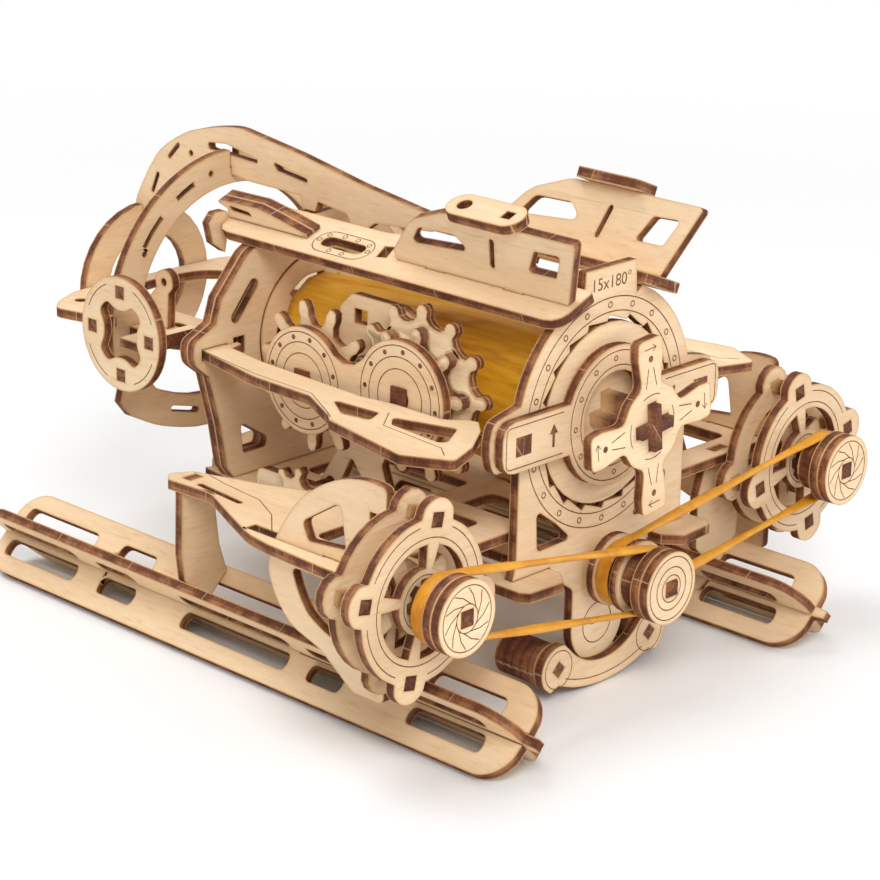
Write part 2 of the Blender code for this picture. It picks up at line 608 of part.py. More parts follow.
# Retaining bar across the stern, held by a rod in each ear of the stern plate
BAR_RING = 20.0
BAR_ARM = 7.2
BAR_HOLE = 12.8
reach = math.degrees(math.asin(BAR_ARM / BAR_RING))
bar_end = poly((20, AXIS_Z - BAR_ARM), (45.6, AXIS_Z - BAR_ARM, 4.6), (45.6, AXIS_Z + BAR_ARM, 4.6),
               (20, AXIS_Z + BAR_ARM))[1:-1]
bar_shape = bar_end + arc(0, AXIS_Z, BAR_RING, reach, 180 - reach, 14)
bar_shape += [(-x, 2 * AXIS_Z - z) for x, z in bar_end]
bar_shape += arc(0, AXIS_Z, BAR_RING, 180 + reach, 360 - reach, 14)
plate("winding_bar", [bar_shape, circle(0, AXIS_Z, BAR_HOLE, 24)], across(-1.8))
for side in (-1, 1):
    join_to("winding_bar", f"rod_{side}", [rect(side * ROD_X, AXIS_Z, ROD_W, ROD_H)], across(0.5), 5.0)

# Winder: key, ratchet disc and axle turn together about the dial's axis
axis_at("winder", (0, 0, AXIS_Z))
KEY_TURN = 6.0
AXLE_REACH = 6.6
AXLE_HALF = 1.55
plate("ratchet_disc", [circle(0, AXIS_Z, 25.8, 36)], across(1.5), axis="winder")
key_arm = [(15.5, -4.4), (20.5, -5.2), (24.0, -5.0), (25.3, -3.2), (25.3, 3.2), (24.0, 5.0), (20.5, 5.2),
           (15.5, 4.4)]
key_shape = []
for quarter in range(4):
    outline = [(x, z + AXIS_Z) for x, z in key_arm] + arc(0, AXIS_Z, 12.3, 24, 66, 3)
    key_shape += turned(outline, 0, AXIS_Z, KEY_TURN + 90 * quarter)


def cross(reach, half):
    corners = ((-half, reach), (-half, half), (-reach, half), (-reach, -half), (-half, -half),
(-half, -reach),
               (half, -reach), (half, -half), (reach, -half), (reach, half), (half, half), (half, reach))
    return turned([(x, y + AXIS_Z) for x, y in corners], 0, AXIS_Z, KEY_TURN)


plate("cross_key", [key_shape, cross(AXLE_REACH + FIT, AXLE_HALF + FIT)], across(-15.0), axis="winder")
join_to("ratchet_disc", "axle", [cross(AXLE_REACH, AXLE_HALF)], across(-5.55), 26.1)

# Gears on axles across the hull: the bow gear's petals mesh with the stern gear's small wheel
GEAR_X = -32.5
BIG_TEETH = 13
BIG_TIP = 25.3
BIG_ROOT = 20.0
NARROW = 2.7


def gear(name, at, loop, x, thick):
    axis_at(name, (GEAR_X, *at))
    plate(name, [loop], along(x), thick, axis=name)
    join_to(name, "axle", [rect(*at, SHAFT, SHAFT)], along(-31.3), 19.0)


bow_wheel = petals(*GEAR_A, GEAR_A_TEETH, PITCH_A - GEAR_A_ROOT, PITCH_A + GEAR_A_TIP, LEAN_AB)
gear("gear_bow", GEAR_A, bow_wheel, -35.5 + NARROW / 2, NARROW)
small_wheel = petals(*GEAR_B, GEAR_B_TEETH, PITCH_B - GEAR_B_ROOT, PITCH_B + GEAR_B_TIP,
                     LEAN_AB + 180 + 180 / GEAR_B_TEETH)
gear("gear_stern", GEAR_B, small_wheel, -34.0, SHEET)
big_wheel = petals(*GEAR_B, BIG_TEETH, BIG_ROOT, BIG_TIP, LEAN_AB)
join_to("gear_stern", "big_wheel", [big_wheel], along(-31.0), SHEET)

# Lay pinion outside the deck's cheek, on a stub that runs in the leg of the left gear frame
PINION_X = CHEEK_X - 4.1
axis_at("lay_pinion", (PINION_X, *PINION))
pinion_wheel = petals(*PINION, PINION_TEETH, PINION_ROOT, PINION_TIP, 45)
plate("lay_pinion", [pinion_wheel], along(PINION_X), axis="lay_pinion")
join_to("lay_pinion", "stub", [circle(*PINION, STUB_R, 12)], along(PINION_X + 8.6), 18.0)

# Middle pulley on its shaft: two belt grooves between three discs
DRUM_R = 8.2
DISC_R = 10.45
PULLEY_HOLE = SHAFT + 2 * FIT


def disc(name, x, z, r, y1, y2, axis, kind="birch_ply", hole=PULLEY_HOLE, count=28):
    plate(name, [circle(x, z, r, count), rect(x, z, hole, hole)], across((y1 + y2) / 2), y2 - y1, kind, axis)


axis_at("middle", (0, 0, PULLEY_Z))
disc("middle_pulley", 0, PULLEY_Z, DISC_R, -25.8, -19.8, "middle")
plate("middle_spool", [circle(0, PULLEY_Z, DISC_R, 28)], across(-13.5), 2.4, axis="middle")
join_to("middle_spool", "drum", [circle(0, PULLEY_Z, DRUM_R, 24)], across(-12.75), 13.5)
join_to("middle_spool", "rear_disc", [circle(0, PULLEY_Z, DISC_R, 28)], across(-5.2), 2.6)
join_to("middle_spool", "shaft", [rect(0, PULLEY_Z, SHAFT, SHAFT)], across(-8.5), 36.0)

# Pod pulleys, their notched hubs, shafts and propellers
for side, word in ((-1, "left"), (1, "right")):
    cx = side * POD_X
    axis_at(word, (cx, 0, POD_Z))
    disc(f"pod_pulley_{word}", cx, POD_Z, DISC_R, -24.9, -18.9, word)
    notches = []
    for k in range(8):
        for x, z, a in ((6.6, -1.4, 0), (6.6, 1.4, 0), (5.2, 0, 17), (5.2, 0, 28)):
            notches += turned([(cx + x, POD_Z + z)], cx, POD_Z, k * 45 + a)
    plate(f"pod_spool_{word}", [notches], across(-11.7), 3.2, axis=word)
    join_to(f"pod_spool_{word}", "drum", [circle(cx, POD_Z, DRUM_R, 24)], across(-15.9), 5.4)
    join_to(f"pod_spool_{word}", "shaft", [rect(cx, POD_Z, SHAFT, SHAFT)], across(-11.6), 27.2)
    blades = []
    for k in range(4):
        blade = [(4.6, -2.4), (9, -3.4), (13.6, -3.2), (14.8, -0.6), (14.4, 1.8), (9, 2.0), (4.6, 2.4)]
        blades += turned([(cx + x, POD_Z + z) for x, z in blade], cx, POD_Z, k * 90 + 30)
    plate(f"propeller_{word}", [blades, rect(cx, POD_Z, PULLEY_HOLE, PULLEY_HOLE)], across(-3.6), SHEET,
          axis=word)

# Rubber belts: the left one runs straight across, the right one slants back to the rear groove
BELT_IN = DRUM_R + 0.45
BELT_OUT = BELT_IN + 2.4


def belt(name, far, frame):
    plate(name, [stadium(0, PULLEY_Z, far, POD_Z, BELT_OUT, 12), stadium(0, PULLEY_Z, far, POD_Z, BELT_IN,
                 12)],
          frame, 2.2, "rubber")


belt("belt_left", -POD_X, across(-17.3))
REAR_GROOVE = -9.6
SLANT = -16.5 - REAR_GROOVE
slanted = tilted((0, REAR_GROOVE, 0), (POD_X, SLANT, 0), (0, 0, 1))
belt("belt_right", math.hypot(POD_X, SLANT), slanted)

# Rubber motor: a bundle of bands stretched from the winder's axle to the disc in the bulkhead
MOTOR_START = 7.8
MOTOR_END = 112.7
MOTOR_WIDE = 22.5
MOTOR_NARROW = 15.0
MOTOR_TALL = 1.12
motor = bmesh.new()
bmesh.ops.create_cone(motor, cap_ends=True, segments=24, radius1=MOTOR_WIDE * MM, radius2=MOTOR_NARROW * MM,
                      depth=(MOTOR_END - MOTOR_START) * MM)
motor_mesh = bpy.data.meshes.new("rubber_motor")
motor.to_mesh(motor_mesh)
motor.free()
motor_place = Matrix.Translation((0, (MOTOR_START + MOTOR_END) / 2 * MM, AXIS_Z * MM))
motor_turn = Matrix.Rotation(math.radians(-90), 4, "X")
motor_mesh.transform(motor_place @ Matrix.Diagonal((1, 1, MOTOR_TALL, 1)) @ motor_turn)
add("rubber_motor", motor_mesh, "rubber", (0, 0, 0), root)

# Disc in the bulkhead that holds the bow end of the rubber
plate("bow_disc", [circle(0, AXIS_Z, 23.4, 30), circle(0, AXIS_Z, 4, 12),
                   *[bent(0, AXIS_Z, 9, 17, a + 10, a + 62, 3) for a in (0, 72, 144, 216, 288)]],
      across(114.5))

# Link under the keel with a drum of discs at each end
DRUM_X = 19.6
link_half = arc(DRUM_X, LINK_Z, 7.0, 112, -62, 8) + arc(0, LINK_Z + 38.5, 47.6, -66, -90, 4)
link_outline = [(0, LINK_Z - 2.1), (7.2, LINK_Z - 0.8), (13.6, LINK_Z + 3.2)] + link_half
studs = [rect(side * DRUM_X, LINK_Z, 3.6, 3.6, 45) for side in (1, -1)]
plate("bottom_link", [mirrored(link_outline), *studs], across(-1.8))


def stack(name, x):
    profile = [(0.0, 0.0)]
    for k in range(5):
        low = 0.3 + k * 3.0
        profile += [(6.3, low), (6.3, low + 2.4), (5.7, low + 2.7)]
    profile[-1] = (6.3, 15.0)
    profile.append((0.0, 15.0))
    profile[0] = (0.0, 0.3)
    mesh = bpy.data.meshes.new(name)
    verts = [(r * MM, 0.0, -y * MM) for r, y in profile]
    mesh.from_pydata(verts, [(i, i + 1) for i in range(len(verts) - 1)], [])
    ob = bpy.data.objects.new(name, mesh)
    mesh.materials.append(material(name, "birch_ply"))
    screw = ob.modifiers.new("turned", "SCREW")
    screw.axis = "Z"
    screw.steps = 16
    screw.render_steps = 16
    screw.use_merge_vertices = True
    screw.merge_threshold = 0.00001
    ob.rotation_euler = (math.radians(90), 0.0, 0.0)
    ob.location = (x * MM, 0.0, LINK_Z * MM)
    ob.parent = root
    parts.objects.link(ob)


stack("drum_left", -DRUM_X)
stack("drum_right", DRUM_X)

for ob in parts.objects:
    if ob.type == "MESH":
        ob.data.set_sharp_from_angle(angle=math.radians(30))
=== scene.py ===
"""Looks of the wind-up plywood craft: laser-burnt birch plates, engraved lines, orange rubber."""

import json
import math

import bmesh
import bpy
from mathutils import Matrix, Vector


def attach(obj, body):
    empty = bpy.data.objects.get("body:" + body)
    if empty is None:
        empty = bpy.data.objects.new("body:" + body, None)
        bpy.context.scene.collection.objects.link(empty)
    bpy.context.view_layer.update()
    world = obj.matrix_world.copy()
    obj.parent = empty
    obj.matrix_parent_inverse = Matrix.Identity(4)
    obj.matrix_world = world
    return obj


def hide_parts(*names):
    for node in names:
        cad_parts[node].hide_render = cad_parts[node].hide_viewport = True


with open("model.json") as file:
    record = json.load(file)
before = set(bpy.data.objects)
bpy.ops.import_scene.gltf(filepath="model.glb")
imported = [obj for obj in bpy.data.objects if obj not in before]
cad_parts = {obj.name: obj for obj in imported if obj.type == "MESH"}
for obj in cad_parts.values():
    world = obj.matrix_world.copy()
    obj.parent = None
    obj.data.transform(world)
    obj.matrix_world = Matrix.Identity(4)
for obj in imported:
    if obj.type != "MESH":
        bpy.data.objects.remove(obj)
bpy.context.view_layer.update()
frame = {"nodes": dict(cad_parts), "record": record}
nodes = frame["nodes"]
scene = bpy.context.scene

# Places are in millimetres, x to starboard, y from the stern plate's outer face towards the bow, z up
MM = 0.001
SHIFT_Y = -81.0
AXIS_Z = 79.2
PULLEY_Z = 34.8
POD_X = 81.4
POD_Z = 49.0
LINK_X = 19.6
LINK_Z = 9.4
GEAR_A = (78.0, 78.7)
GEAR_B = (40.0, 82.4)
WHEEL = (138.8, 82.0)
DECK_TOP = 39.2
SHEET = 3.0

# Faces that carry marks, and how far a mark lies above its face
BLOCK_FACE = -3.2
BAR_FACE = -3.3
LINK_FACE = -3.3
POD_RING_FACE = -9.8
KEY_FACE = -16.5
POD_PULLEY_FACE = -24.9
MIDDLE_PULLEY_FACE = -25.8
COVER_FACE = -40.0
WHEEL_FACE = 55.6
RAIL_TOP = 81.0
WING_TOP = 51.9
LIFT = 0.04

SIDES = ((-1, "left"), (1, "right"))
QUARTERS = (0, 90, 180, 270)


# Planes that the marks lie on
def across(y):
    return Matrix(((1, 0, 0, 0), (0, 0, -1, y + SHIFT_Y), (0, 1, 0, 0), (0, 0, 0, 1)))


def along(x):
    return Matrix(((0, 0, 1, x), (1, 0, 0, SHIFT_Y), (0, 1, 0, 0), (0, 0, 0, 1)))


def level(z):
    return Matrix(((1, 0, 0, 0), (0, 1, 0, SHIFT_Y), (0, 0, 1, z), (0, 0, 0, 1)))


def axes_at(u, v, w, origin):
    """A matrix whose columns are three axes and a place."""
    rows = [(u[i], v[i], w[i], origin[i]) for i in range(3)]
    return Matrix((*rows, (0, 0, 0, 1)))


def tilted(origin, u_dir, v_dir, raised):
    u = Vector(u_dir).normalized()
    v = Vector(v_dir).normalized()
    w = u.cross(v)
    return axes_at(u, v, w, Vector(origin) + w * raised + Vector((0, SHIFT_Y, 0)))


# Flat outlines
def at_angle(cx, cy, r, angle):
    a = math.radians(angle)
    return cx + r * math.cos(a), cy + r * math.sin(a)


def arc(cx, cy, r, start, end, count):
    step = (end - start) / count
    return [at_angle(cx, cy, r, start + step * i) for i in range(count + 1)]


def ring(cx, cy, r, count=48):
    return arc(cx, cy, r, 0, 360, count)[:-1]


def spun(points, cx, cy, turn):
    c, s = math.cos(math.radians(turn)), math.sin(math.radians(turn))
    return [(cx + (x - cx) * c - (y - cy) * s, cy + (x - cx) * s + (y - cy) * c) for x, y in points]


def rect(cx, cy, width, height, turn=0.0):
    a, b = width / 2, height / 2
    corners = [(cx - a, cy - b), (cx + a, cy - b), (cx + a, cy + b), (cx - a, cy + b)]
    return spun(corners, cx, cy, turn)


def mirrored(lines, side):
    """The same lines for port, where x is below zero, or mirrored for starboard."""
    return [[(-side * x, y) for x, y in line] for line in lines]


# Node trees
BLACK = (0, 0, 0, 1)
WHITE = (1, 1, 1, 1)
NODE_STEP = 160
# A Mix node's sockets for colours share their names with its other sockets, so they go by number
MIX_FACTOR, MIX_A, MIX_B, MIX_RESULT = 0, 6, 7, 2


def grey(value):
    return (value, value, value, 1)


class Wires:
    """Short hand for placing, setting and joining the nodes of one tree."""

    def __init__(self, tree):
        self.tree = tree
        self.x = 0

    def fill(self, node, inputs):
        """Give inputs a plain value, or join them to another node's output."""
        for key, value in inputs.items():
            if isinstance(value, bpy.types.NodeSocket):
                self.tree.links.new(value, node.inputs[key])
            else:
                node.inputs[key].default_value = value

    def put(self, kind, inputs=None, **settings):
        node = self.tree.nodes.new(kind)
        self.x += NODE_STEP
        node.location = (self.x, 0)
        for key, value in settings.items():
            setattr(node, key, value)
        self.fill(node, inputs or {})
        return node

    def math(self, operation, *values, clamp=False):
        inputs = dict(enumerate(values))
        return self.put("ShaderNodeMath", inputs, operation=operation, use_clamp=clamp).outputs[0]

    def vector(self, operation, *values, output="Vector"):
        return self.put("ShaderNodeVectorMath", dict(enumerate(values)), operation=operation).outputs[output]

    def weighed(self, *pairs):
        """The sum of some values, each times its share."""
        total = None
        for value, share in reversed(pairs):
            part = self.math("MULTIPLY", value, share)
            total = part if total is None else self.math("ADD", part, total)
        return total

    def blend(self, factor, a, b):
        inputs = {MIX_FACTOR: factor, MIX_A: a, MIX_B: b}
        return self.put("ShaderNodeMix", inputs, data_type="RGBA").outputs[MIX_RESULT]

    def noise(self, place, scale, detail=2.0, roughness=0.5):
        inputs = {"Vector": place, "Scale": scale, "Detail": detail, "Roughness": roughness}
        return self.put("ShaderNodeTexNoise", inputs).outputs["Fac"]

    def ramp(self, value, *stops):
        node = self.put("ShaderNodeValToRGB", {0: value})
        ramp = node.color_ramp
        ramp.elements[0].position, ramp.elements[0].color = stops[0]
        ramp.elements[1].position, ramp.elements[1].color = stops[-1]
        for position, colour in stops[1:-1]:
            ramp.elements.new(position).color = colour
        return node.outputs[0]

    def place(self):
        return self.put("ShaderNodeTexCoord").outputs["Object"]

    def attribute(self, name):
        return self.put("ShaderNodeAttribute", attribute_name=name).outputs["Fac"]

    def bump(self, height, strength, distance):
        inputs = {"Height": height, "Strength": strength, "Distance": distance}
        return self.put("ShaderNodeBump", inputs).outputs[0]


def new_group(name, kind, inputs, outputs):
    """A group with named inputs and outputs; returns its tree, wires, given values and output node."""
    tree = bpy.data.node_groups.new(name, kind)
    for label, socket_type, value in inputs:
        socket = tree.interface.new_socket(label, in_out="INPUT", socket_type=socket_type)
        if value is not None:
            socket.default_value = value
    for label, socket_type in outputs:
        tree.interface.new_socket(label, in_out="OUTPUT", socket_type=socket_type)
    w = Wires(tree)
    given = w.put("NodeGroupInput")
    return tree, w, given.outputs, w.put("NodeGroupOutput")


def new_finish(name):
    """A material with its wires and its Principled shader."""
    mat = bpy.data.materials.new(name)
    mat.use_nodes = True
    return mat, Wires(mat.node_tree), mat.node_tree.nodes["Principled BSDF"]


# Shader groups shared by the plywood finishes
LIGHT_BIRCH = (0.86, 0.655, 0.425, 1)
DARK_BIRCH = (0.75, 0.52, 0.305, 1)
FLECK_BROWN = (0.52, 0.31, 0.15, 1)
RIM_TAN = (0.66, 0.38, 0.16, 1)
WARM_PLY = (0.40, 0.19, 0.085, 1)
NICK_TAN = (0.62, 0.40, 0.22, 1)
TOASTED_TAN = (0.66, 0.40, 0.17, 1)
CHAR_BROWN = (0.30, 0.13, 0.06, 1)
BURNT_BROWNS = ((0.36, (0.072, 0.021, 0.010, 1)), (0.49, (0.140, 0.044, 0.020, 1)),
                (0.58, (0.230, 0.084, 0.034, 1)), (0.70, (0.38, 0.17, 0.066, 1)))
NICK_STEP = 31 * MM
NICK_HALF = 0.005
NICK_SHARE = 0.55
FLECK_SHARE = 0.25
TONE_SHIFT = 7.3
DARKEST_TONE, TONE_SPREAD = 0.94, 0.12
# Keeps the front face's corners within the last sheet when a depth is cut into sheets
JUST_INSIDE = 0.9999


def birch_grain_group():
    """Long streaks and short flecks, moved and toned a little from plate to plate."""
    tree, w, given, out = new_group("birch_grain", "ShaderNodeTree", [
        ("Position", "NodeSocketVector", None), ("Stretch", "NodeSocketVector", None),
        ("Tone", "NodeSocketFloat", 0.5), ("Light", "NodeSocketColor", LIGHT_BIRCH),
        ("Dark", "NodeSocketColor", DARK_BIRCH),
    ], [("Color", "NodeSocketColor"), ("Height", "NodeSocketFloat")])
    drawn = w.vector("MULTIPLY", given["Position"], given["Stretch"])
    away = w.math("MULTIPLY", given["Tone"], TONE_SHIFT)
    offset = w.put("ShaderNodeCombineXYZ", {"X": away, "Y": away, "Z": away}).outputs[0]
    place = w.vector("ADD", drawn, offset)
    broad = w.noise(place, scale=90.0, detail=3.0)
    fine = w.noise(place, scale=900.0, detail=4.0, roughness=0.65)
    mixed = w.weighed((broad, 0.55), (fine, 0.45))
    streak = w.ramp(mixed, (0.36, BLACK), (0.66, WHITE))
    colour = w.blend(streak, given["Dark"], given["Light"])
    flecks = w.ramp(fine, (0.30, WHITE), (0.40, BLACK))
    flecked = w.blend(w.math("MULTIPLY", flecks, FLECK_SHARE), colour, FLECK_BROWN)
    value = w.math("MULTIPLY_ADD", given["Tone"], TONE_SPREAD, DARKEST_TONE)
    toned = w.put("ShaderNodeHueSaturation", {"Value": value, "Color": flecked})
    w.fill(out, {"Color": toned.outputs[0], "Height": mixed})
    return tree


def burnt_edge_group():
    """The cut edge: uneven browns, a warm layer and pale rims in each sheet, and a pale nick now and then."""
    tree, w, given, out = new_group("burnt_edge", "ShaderNodeTree", [
        ("Position", "NodeSocketVector", None), ("Depth", "NodeSocketFloat", 0.0),
        ("Sheets", "NodeSocketFloat", 1.0), ("Nick Step", "NodeSocketFloat", NICK_STEP),
        ("Nick Line", "NodeSocketVector", None), ("Beam", "NodeSocketVector", None),
    ], [("Color", "NodeSocketColor"), ("Height", "NodeSocketFloat")])
    patchy = w.noise(given["Position"], scale=150.0, detail=4.0)
    sooty = w.noise(given["Position"], scale=1500.0)
    beam = w.noise(w.vector("MULTIPLY", given["Position"], given["Beam"]), scale=1100.0)
    mix = w.weighed((patchy, 0.55), (sooty, 0.18), (beam, 0.27))
    brown = w.ramp(mix, *BURNT_BROWNS)
    half_sheets = w.math("MULTIPLY", given["Sheets"], 0.5)
    raised = w.math("ADD", w.math("MULTIPLY", given["Depth"], half_sheets), half_sheets)
    ply = w.math("FRACT", w.math("MULTIPLY", raised, JUST_INSIDE))
    lit = w.ramp(ply, (0.08, BLACK), (0.20, WHITE), (0.42, WHITE), (0.52, BLACK))
    warm = w.ramp(patchy, (0.42, grey(0.05)), (0.60, grey(0.6)))
    glowing = w.blend(w.math("MULTIPLY", lit, warm), brown, WARM_PLY)
    off_middle = w.math("MULTIPLY", w.math("ABSOLUTE", w.math("SUBTRACT", ply, 0.5)), 2.0)
    rim = w.ramp(off_middle, (0.70, BLACK), (0.93, WHITE))
    rim_share = w.math("ADD", w.math("MULTIPLY", sooty, 0.6), 0.5, clamp=True)
    rimmed = w.blend(w.math("MULTIPLY", rim, rim_share), glowing, RIM_TAN)
    way = w.vector("DOT_PRODUCT", given["Position"], given["Nick Line"], output="Value")
    part = w.math("FRACT", w.math("DIVIDE", way, given["Nick Step"]))
    nick = w.math("LESS_THAN", w.math("ABSOLUTE", w.math("SUBTRACT", part, 0.5)), NICK_HALF)
    nicked = w.blend(w.math("MULTIPLY", nick, NICK_SHARE), rimmed, NICK_TAN)
    w.fill(out, {"Color": nicked, "Height": mix})
    return tree


GRAIN = birch_grain_group()
BURNT = burnt_edge_group()
CUT_MARK = 0.985
FACE_ROUGH, GRAIN_ROUGH, CUT_ROUGHER = 0.56, 0.1, 0.14


def birch(name, stretch, nick_line, beam):
    """Plywood by its marks: grain on the faces, a tan and dark halo beside a cut, and the cut edge."""
    mat, w, shader = new_finish(name)
    place = w.place()
    scorch = w.attribute("scorch")
    grain = w.put("ShaderNodeGroup", {
        "Position": place, "Stretch": stretch, "Tone": w.attribute("tone"),
        "Light": LIGHT_BIRCH, "Dark": DARK_BIRCH}, node_tree=GRAIN).outputs
    burnt = w.put("ShaderNodeGroup", {
        "Position": place, "Depth": w.attribute("depth"), "Sheets": w.attribute("sheets"),
        "Nick Line": nick_line, "Beam": beam}, node_tree=BURNT).outputs
    tan = w.ramp(scorch, (0.0, BLACK), (0.45, grey(0.22)), (0.8, grey(0.72)))
    toasted = w.blend(tan, grain["Color"], TOASTED_TAN)
    char = w.ramp(scorch, (0.80, BLACK), (0.94, grey(0.7)))
    singed = w.blend(char, toasted, CHAR_BROWN)
    cut = w.math("GREATER_THAN", scorch, CUT_MARK)
    face_rough = w.math("MULTIPLY_ADD", grain["Height"], GRAIN_ROUGH, FACE_ROUGH)
    height = w.blend(cut, grain["Height"], burnt["Height"])
    w.fill(shader, {
        "Base Color": w.blend(cut, singed, burnt["Color"]),
        "Roughness": w.math("ADD", w.math("MULTIPLY", cut, CUT_ROUGHER), face_rough),
        "Normal": w.bump(height, strength=0.25, distance=0.12 * MM),
        "Specular IOR Level": 0.3})
    return mat


def burnt_line():
    mat, w, shader = new_finish("engraved_line")
    uneven = w.noise(w.place(), scale=700.0)
    browns = w.ramp(uneven, (0.3, (0.10, 0.035, 0.018, 1)), (0.7, (0.30, 0.14, 0.07, 1)))
    w.fill(shader, {"Base Color": browns, "Roughness": 0.8, "Specular IOR Level": 0.2})
    return mat


def rubber_finish(name, stretch, dark, mid, light):
    mat, w, shader = new_finish(name)
    drawn = w.vector("MULTIPLY", w.place(), stretch)
    broad = w.noise(drawn, scale=210.0, detail=3.0)
    fine = w.noise(drawn, scale=900.0)
    mixed = w.weighed((broad, 0.65), (fine, 0.35))
    colour = w.ramp(mixed, (0.34, dark), (0.47, mid), (0.64, light))
    normal = w.bump(mixed, strength=0.2, distance=0.2 * MM)
    w.fill(shader, {"Base Color": colour, "Roughness": 0.45, "Normal": normal})
    return mat


BIRCH = {
    "across": birch("birch_across", (0.16, 1.0, 1.0), nick_line=(0.8, 0.0, 0.6), beam=(1.0, 0.08, 1.0)),
    "along": birch("birch_along", (1.0, 0.16, 1.0), nick_line=(0.0, 0.9, 0.44), beam=(0.08, 1.0, 1.0)),
    "level": birch("birch_level", (1.0, 0.16, 1.0), nick_line=(0.25, 0.97, 0.0), beam=(1.0, 1.0, 0.08)),
}
LINE = burnt_line()
AMBER = rubber_finish("rubber_belt", stretch=(0.4, 0.4, 0.4), dark=(0.52, 0.19, 0.006, 1),
                      mid=(0.64, 0.27, 0.014, 1), light=(0.74, 0.35, 0.025, 1))
GOLDEN = rubber_finish("rubber_motor_bands", stretch=(1.0, 0.07, 1.0), dark=(0.48, 0.19, 0.004, 1),
                       mid=(0.72, 0.345, 0.012, 1), light=(0.83, 0.46, 0.035, 1))


# Meshes and pieces
def on_plane(work, place, points, height=0.0):
    """New corners for flat points that lie on a plane, or that much above it."""
    return [work.verts.new((place @ Vector((*p, height))) * MM) for p in points]


def surface_layers(work):
    return [work.loops.layers.float.new(label) for label in ("scorch", "tone", "depth", "sheets")]


def mesh_of(name, work, finish):
    mesh = bpy.data.meshes.new(name)
    work.to_mesh(mesh)
    work.free()
    mesh.materials.append(finish)
    return mesh


def evaluated_mesh(host):
    """The plain mesh that an object's modifiers or curve give."""
    bpy.context.view_layer.update()
    return bpy.data.meshes.new_from_object(host.evaluated_get(bpy.context.evaluated_depsgraph_get()))


def mesh_of_curve(name, curve):
    host = bpy.data.objects.new(name, curve)
    scene.collection.objects.link(host)
    mesh = evaluated_mesh(host)
    bpy.data.objects.remove(host, do_unlink=True)
    bpy.data.curves.remove(curve)
    return mesh


def add_piece(name, mesh, body, replaced=None):
    """Put a finished mesh in the scene, under the empty of the body it rides on, and hide the part it stands
    for.
    """
    piece = bpy.data.objects.new(name, mesh)
    scene.collection.objects.link(piece)
    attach(piece, body)
    if replaced:
        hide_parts(replaced)


# Finished plates: a merged copy of each solid, with its cut edges marked and a scorched strip beside them
RUBBER_NODES = ("belt_left", "belt_right", "rubber_motor")
TONE_STEP = 0.618
MERGE = 0.004 * MM
CURVE_MERGE = 0.002 * MM
SHARP = math.radians(32)

# How the sheet's own faces are told from its cut edges; of two opposite normals, one counts for both
ONE_WAY = (1.0, 0.9, 0.8)
NORMAL_STEPS = 40
FACING = 0.985
COPLANAR = 0.98
PLANE_STEP = 0.1 * MM
LEAST_PLANE = 60 * MM * MM
LEAST_PLANE_SHARE = 0.05

# The scorched strip: its width and height, and its marks on the outer and the inner side
SCORCH = 0.85 * MM
SCORCH_LIFT = 0.02 * MM
SCORCH_MARKS = (0.95, 0.95, 0.0, 0.0)
NO_LENGTH = 0.000001 * MM
OPPOSED = 0.2
SHARPEST = 0.45
BLOCK_TONE = 0.4
INSIDE_DEPTH = 0.25

# Which edges of an outline are chords of a curve, and how finely they are drawn again
CURVE_TURN = math.radians(52)
LEAST_TURN = 0.01
ALIKE_LEAST, ALIKE_MOST = 0.3, 3.4
CURVE_CHORD = 17.0 * MM
SMALL_STEP = 2.5 * MM
TINY_STEP = 1.2 * MM
STRAIGHT_SHARE = 1.6
FLAT_SLACK = 0.02 * MM
THICKEST_SHEETS = 2.3
SHEET_SLACK = 0.2

bodies_of = {}
for body, members in frame["record"]["behaviour"]["bodies"].items():
    for member in members:
        bodies_of[member] = body


def main_normal(work):
    """The direction that most of a plate's area faces, either way."""
    spread = {}
    for face in work.faces:
        n = face.normal
        if sum(c * share for c, share in zip(n, ONE_WAY)) < 0:
            n = -n
        key = tuple(round(c * NORMAL_STEPS) for c in n)
        spread[key] = spread.get(key, 0.0) + face.calc_area()
    return Vector(max(spread, key=spread.get)).normalized()


def flat_faces(work, best, name):
    """The faces of the sheet itself: the large planes that face along its normal."""
    planes = {}
    for face in work.faces:
        if abs(face.normal.dot(best)) > FACING:
            key = (face.normal.dot(best) > 0, round(face.calc_center_median().dot(best) / PLANE_STEP))
            planes.setdefault(key, []).append(face)
    sizes = {key: sum(f.calc_area() for f in faces) for key, faces in planes.items()}
    least = max(LEAST_PLANE, LEAST_PLANE_SHARE * max(sizes.values()))
    flat = set()
    for key, faces in planes.items():
        if sizes[key] >= least:
            flat.update(faces)
    if name == "deck_plate":
        # The cheek stands upright on the deck, and its own two faces are sheet too
        for face in work.faces:
            if abs(face.normal.x) > FACING and face.calc_center_median().z > DECK_TOP * MM:
                flat.add(face)
    return flat


def in_order(work, faces):
    """A set of faces in the mesh's own order, which is the same at each run."""
    return [face for face in work.faces if face in faces]


def rim_of(face, flat):
    """The face's loops along which the sheet ends."""
    for loop in face.loops:
        others = [other for other in loop.edge.link_faces if other is not face]
        if not any(other in flat and other.normal.dot(face.normal) > COPLANAR for other in others):
            yield loop


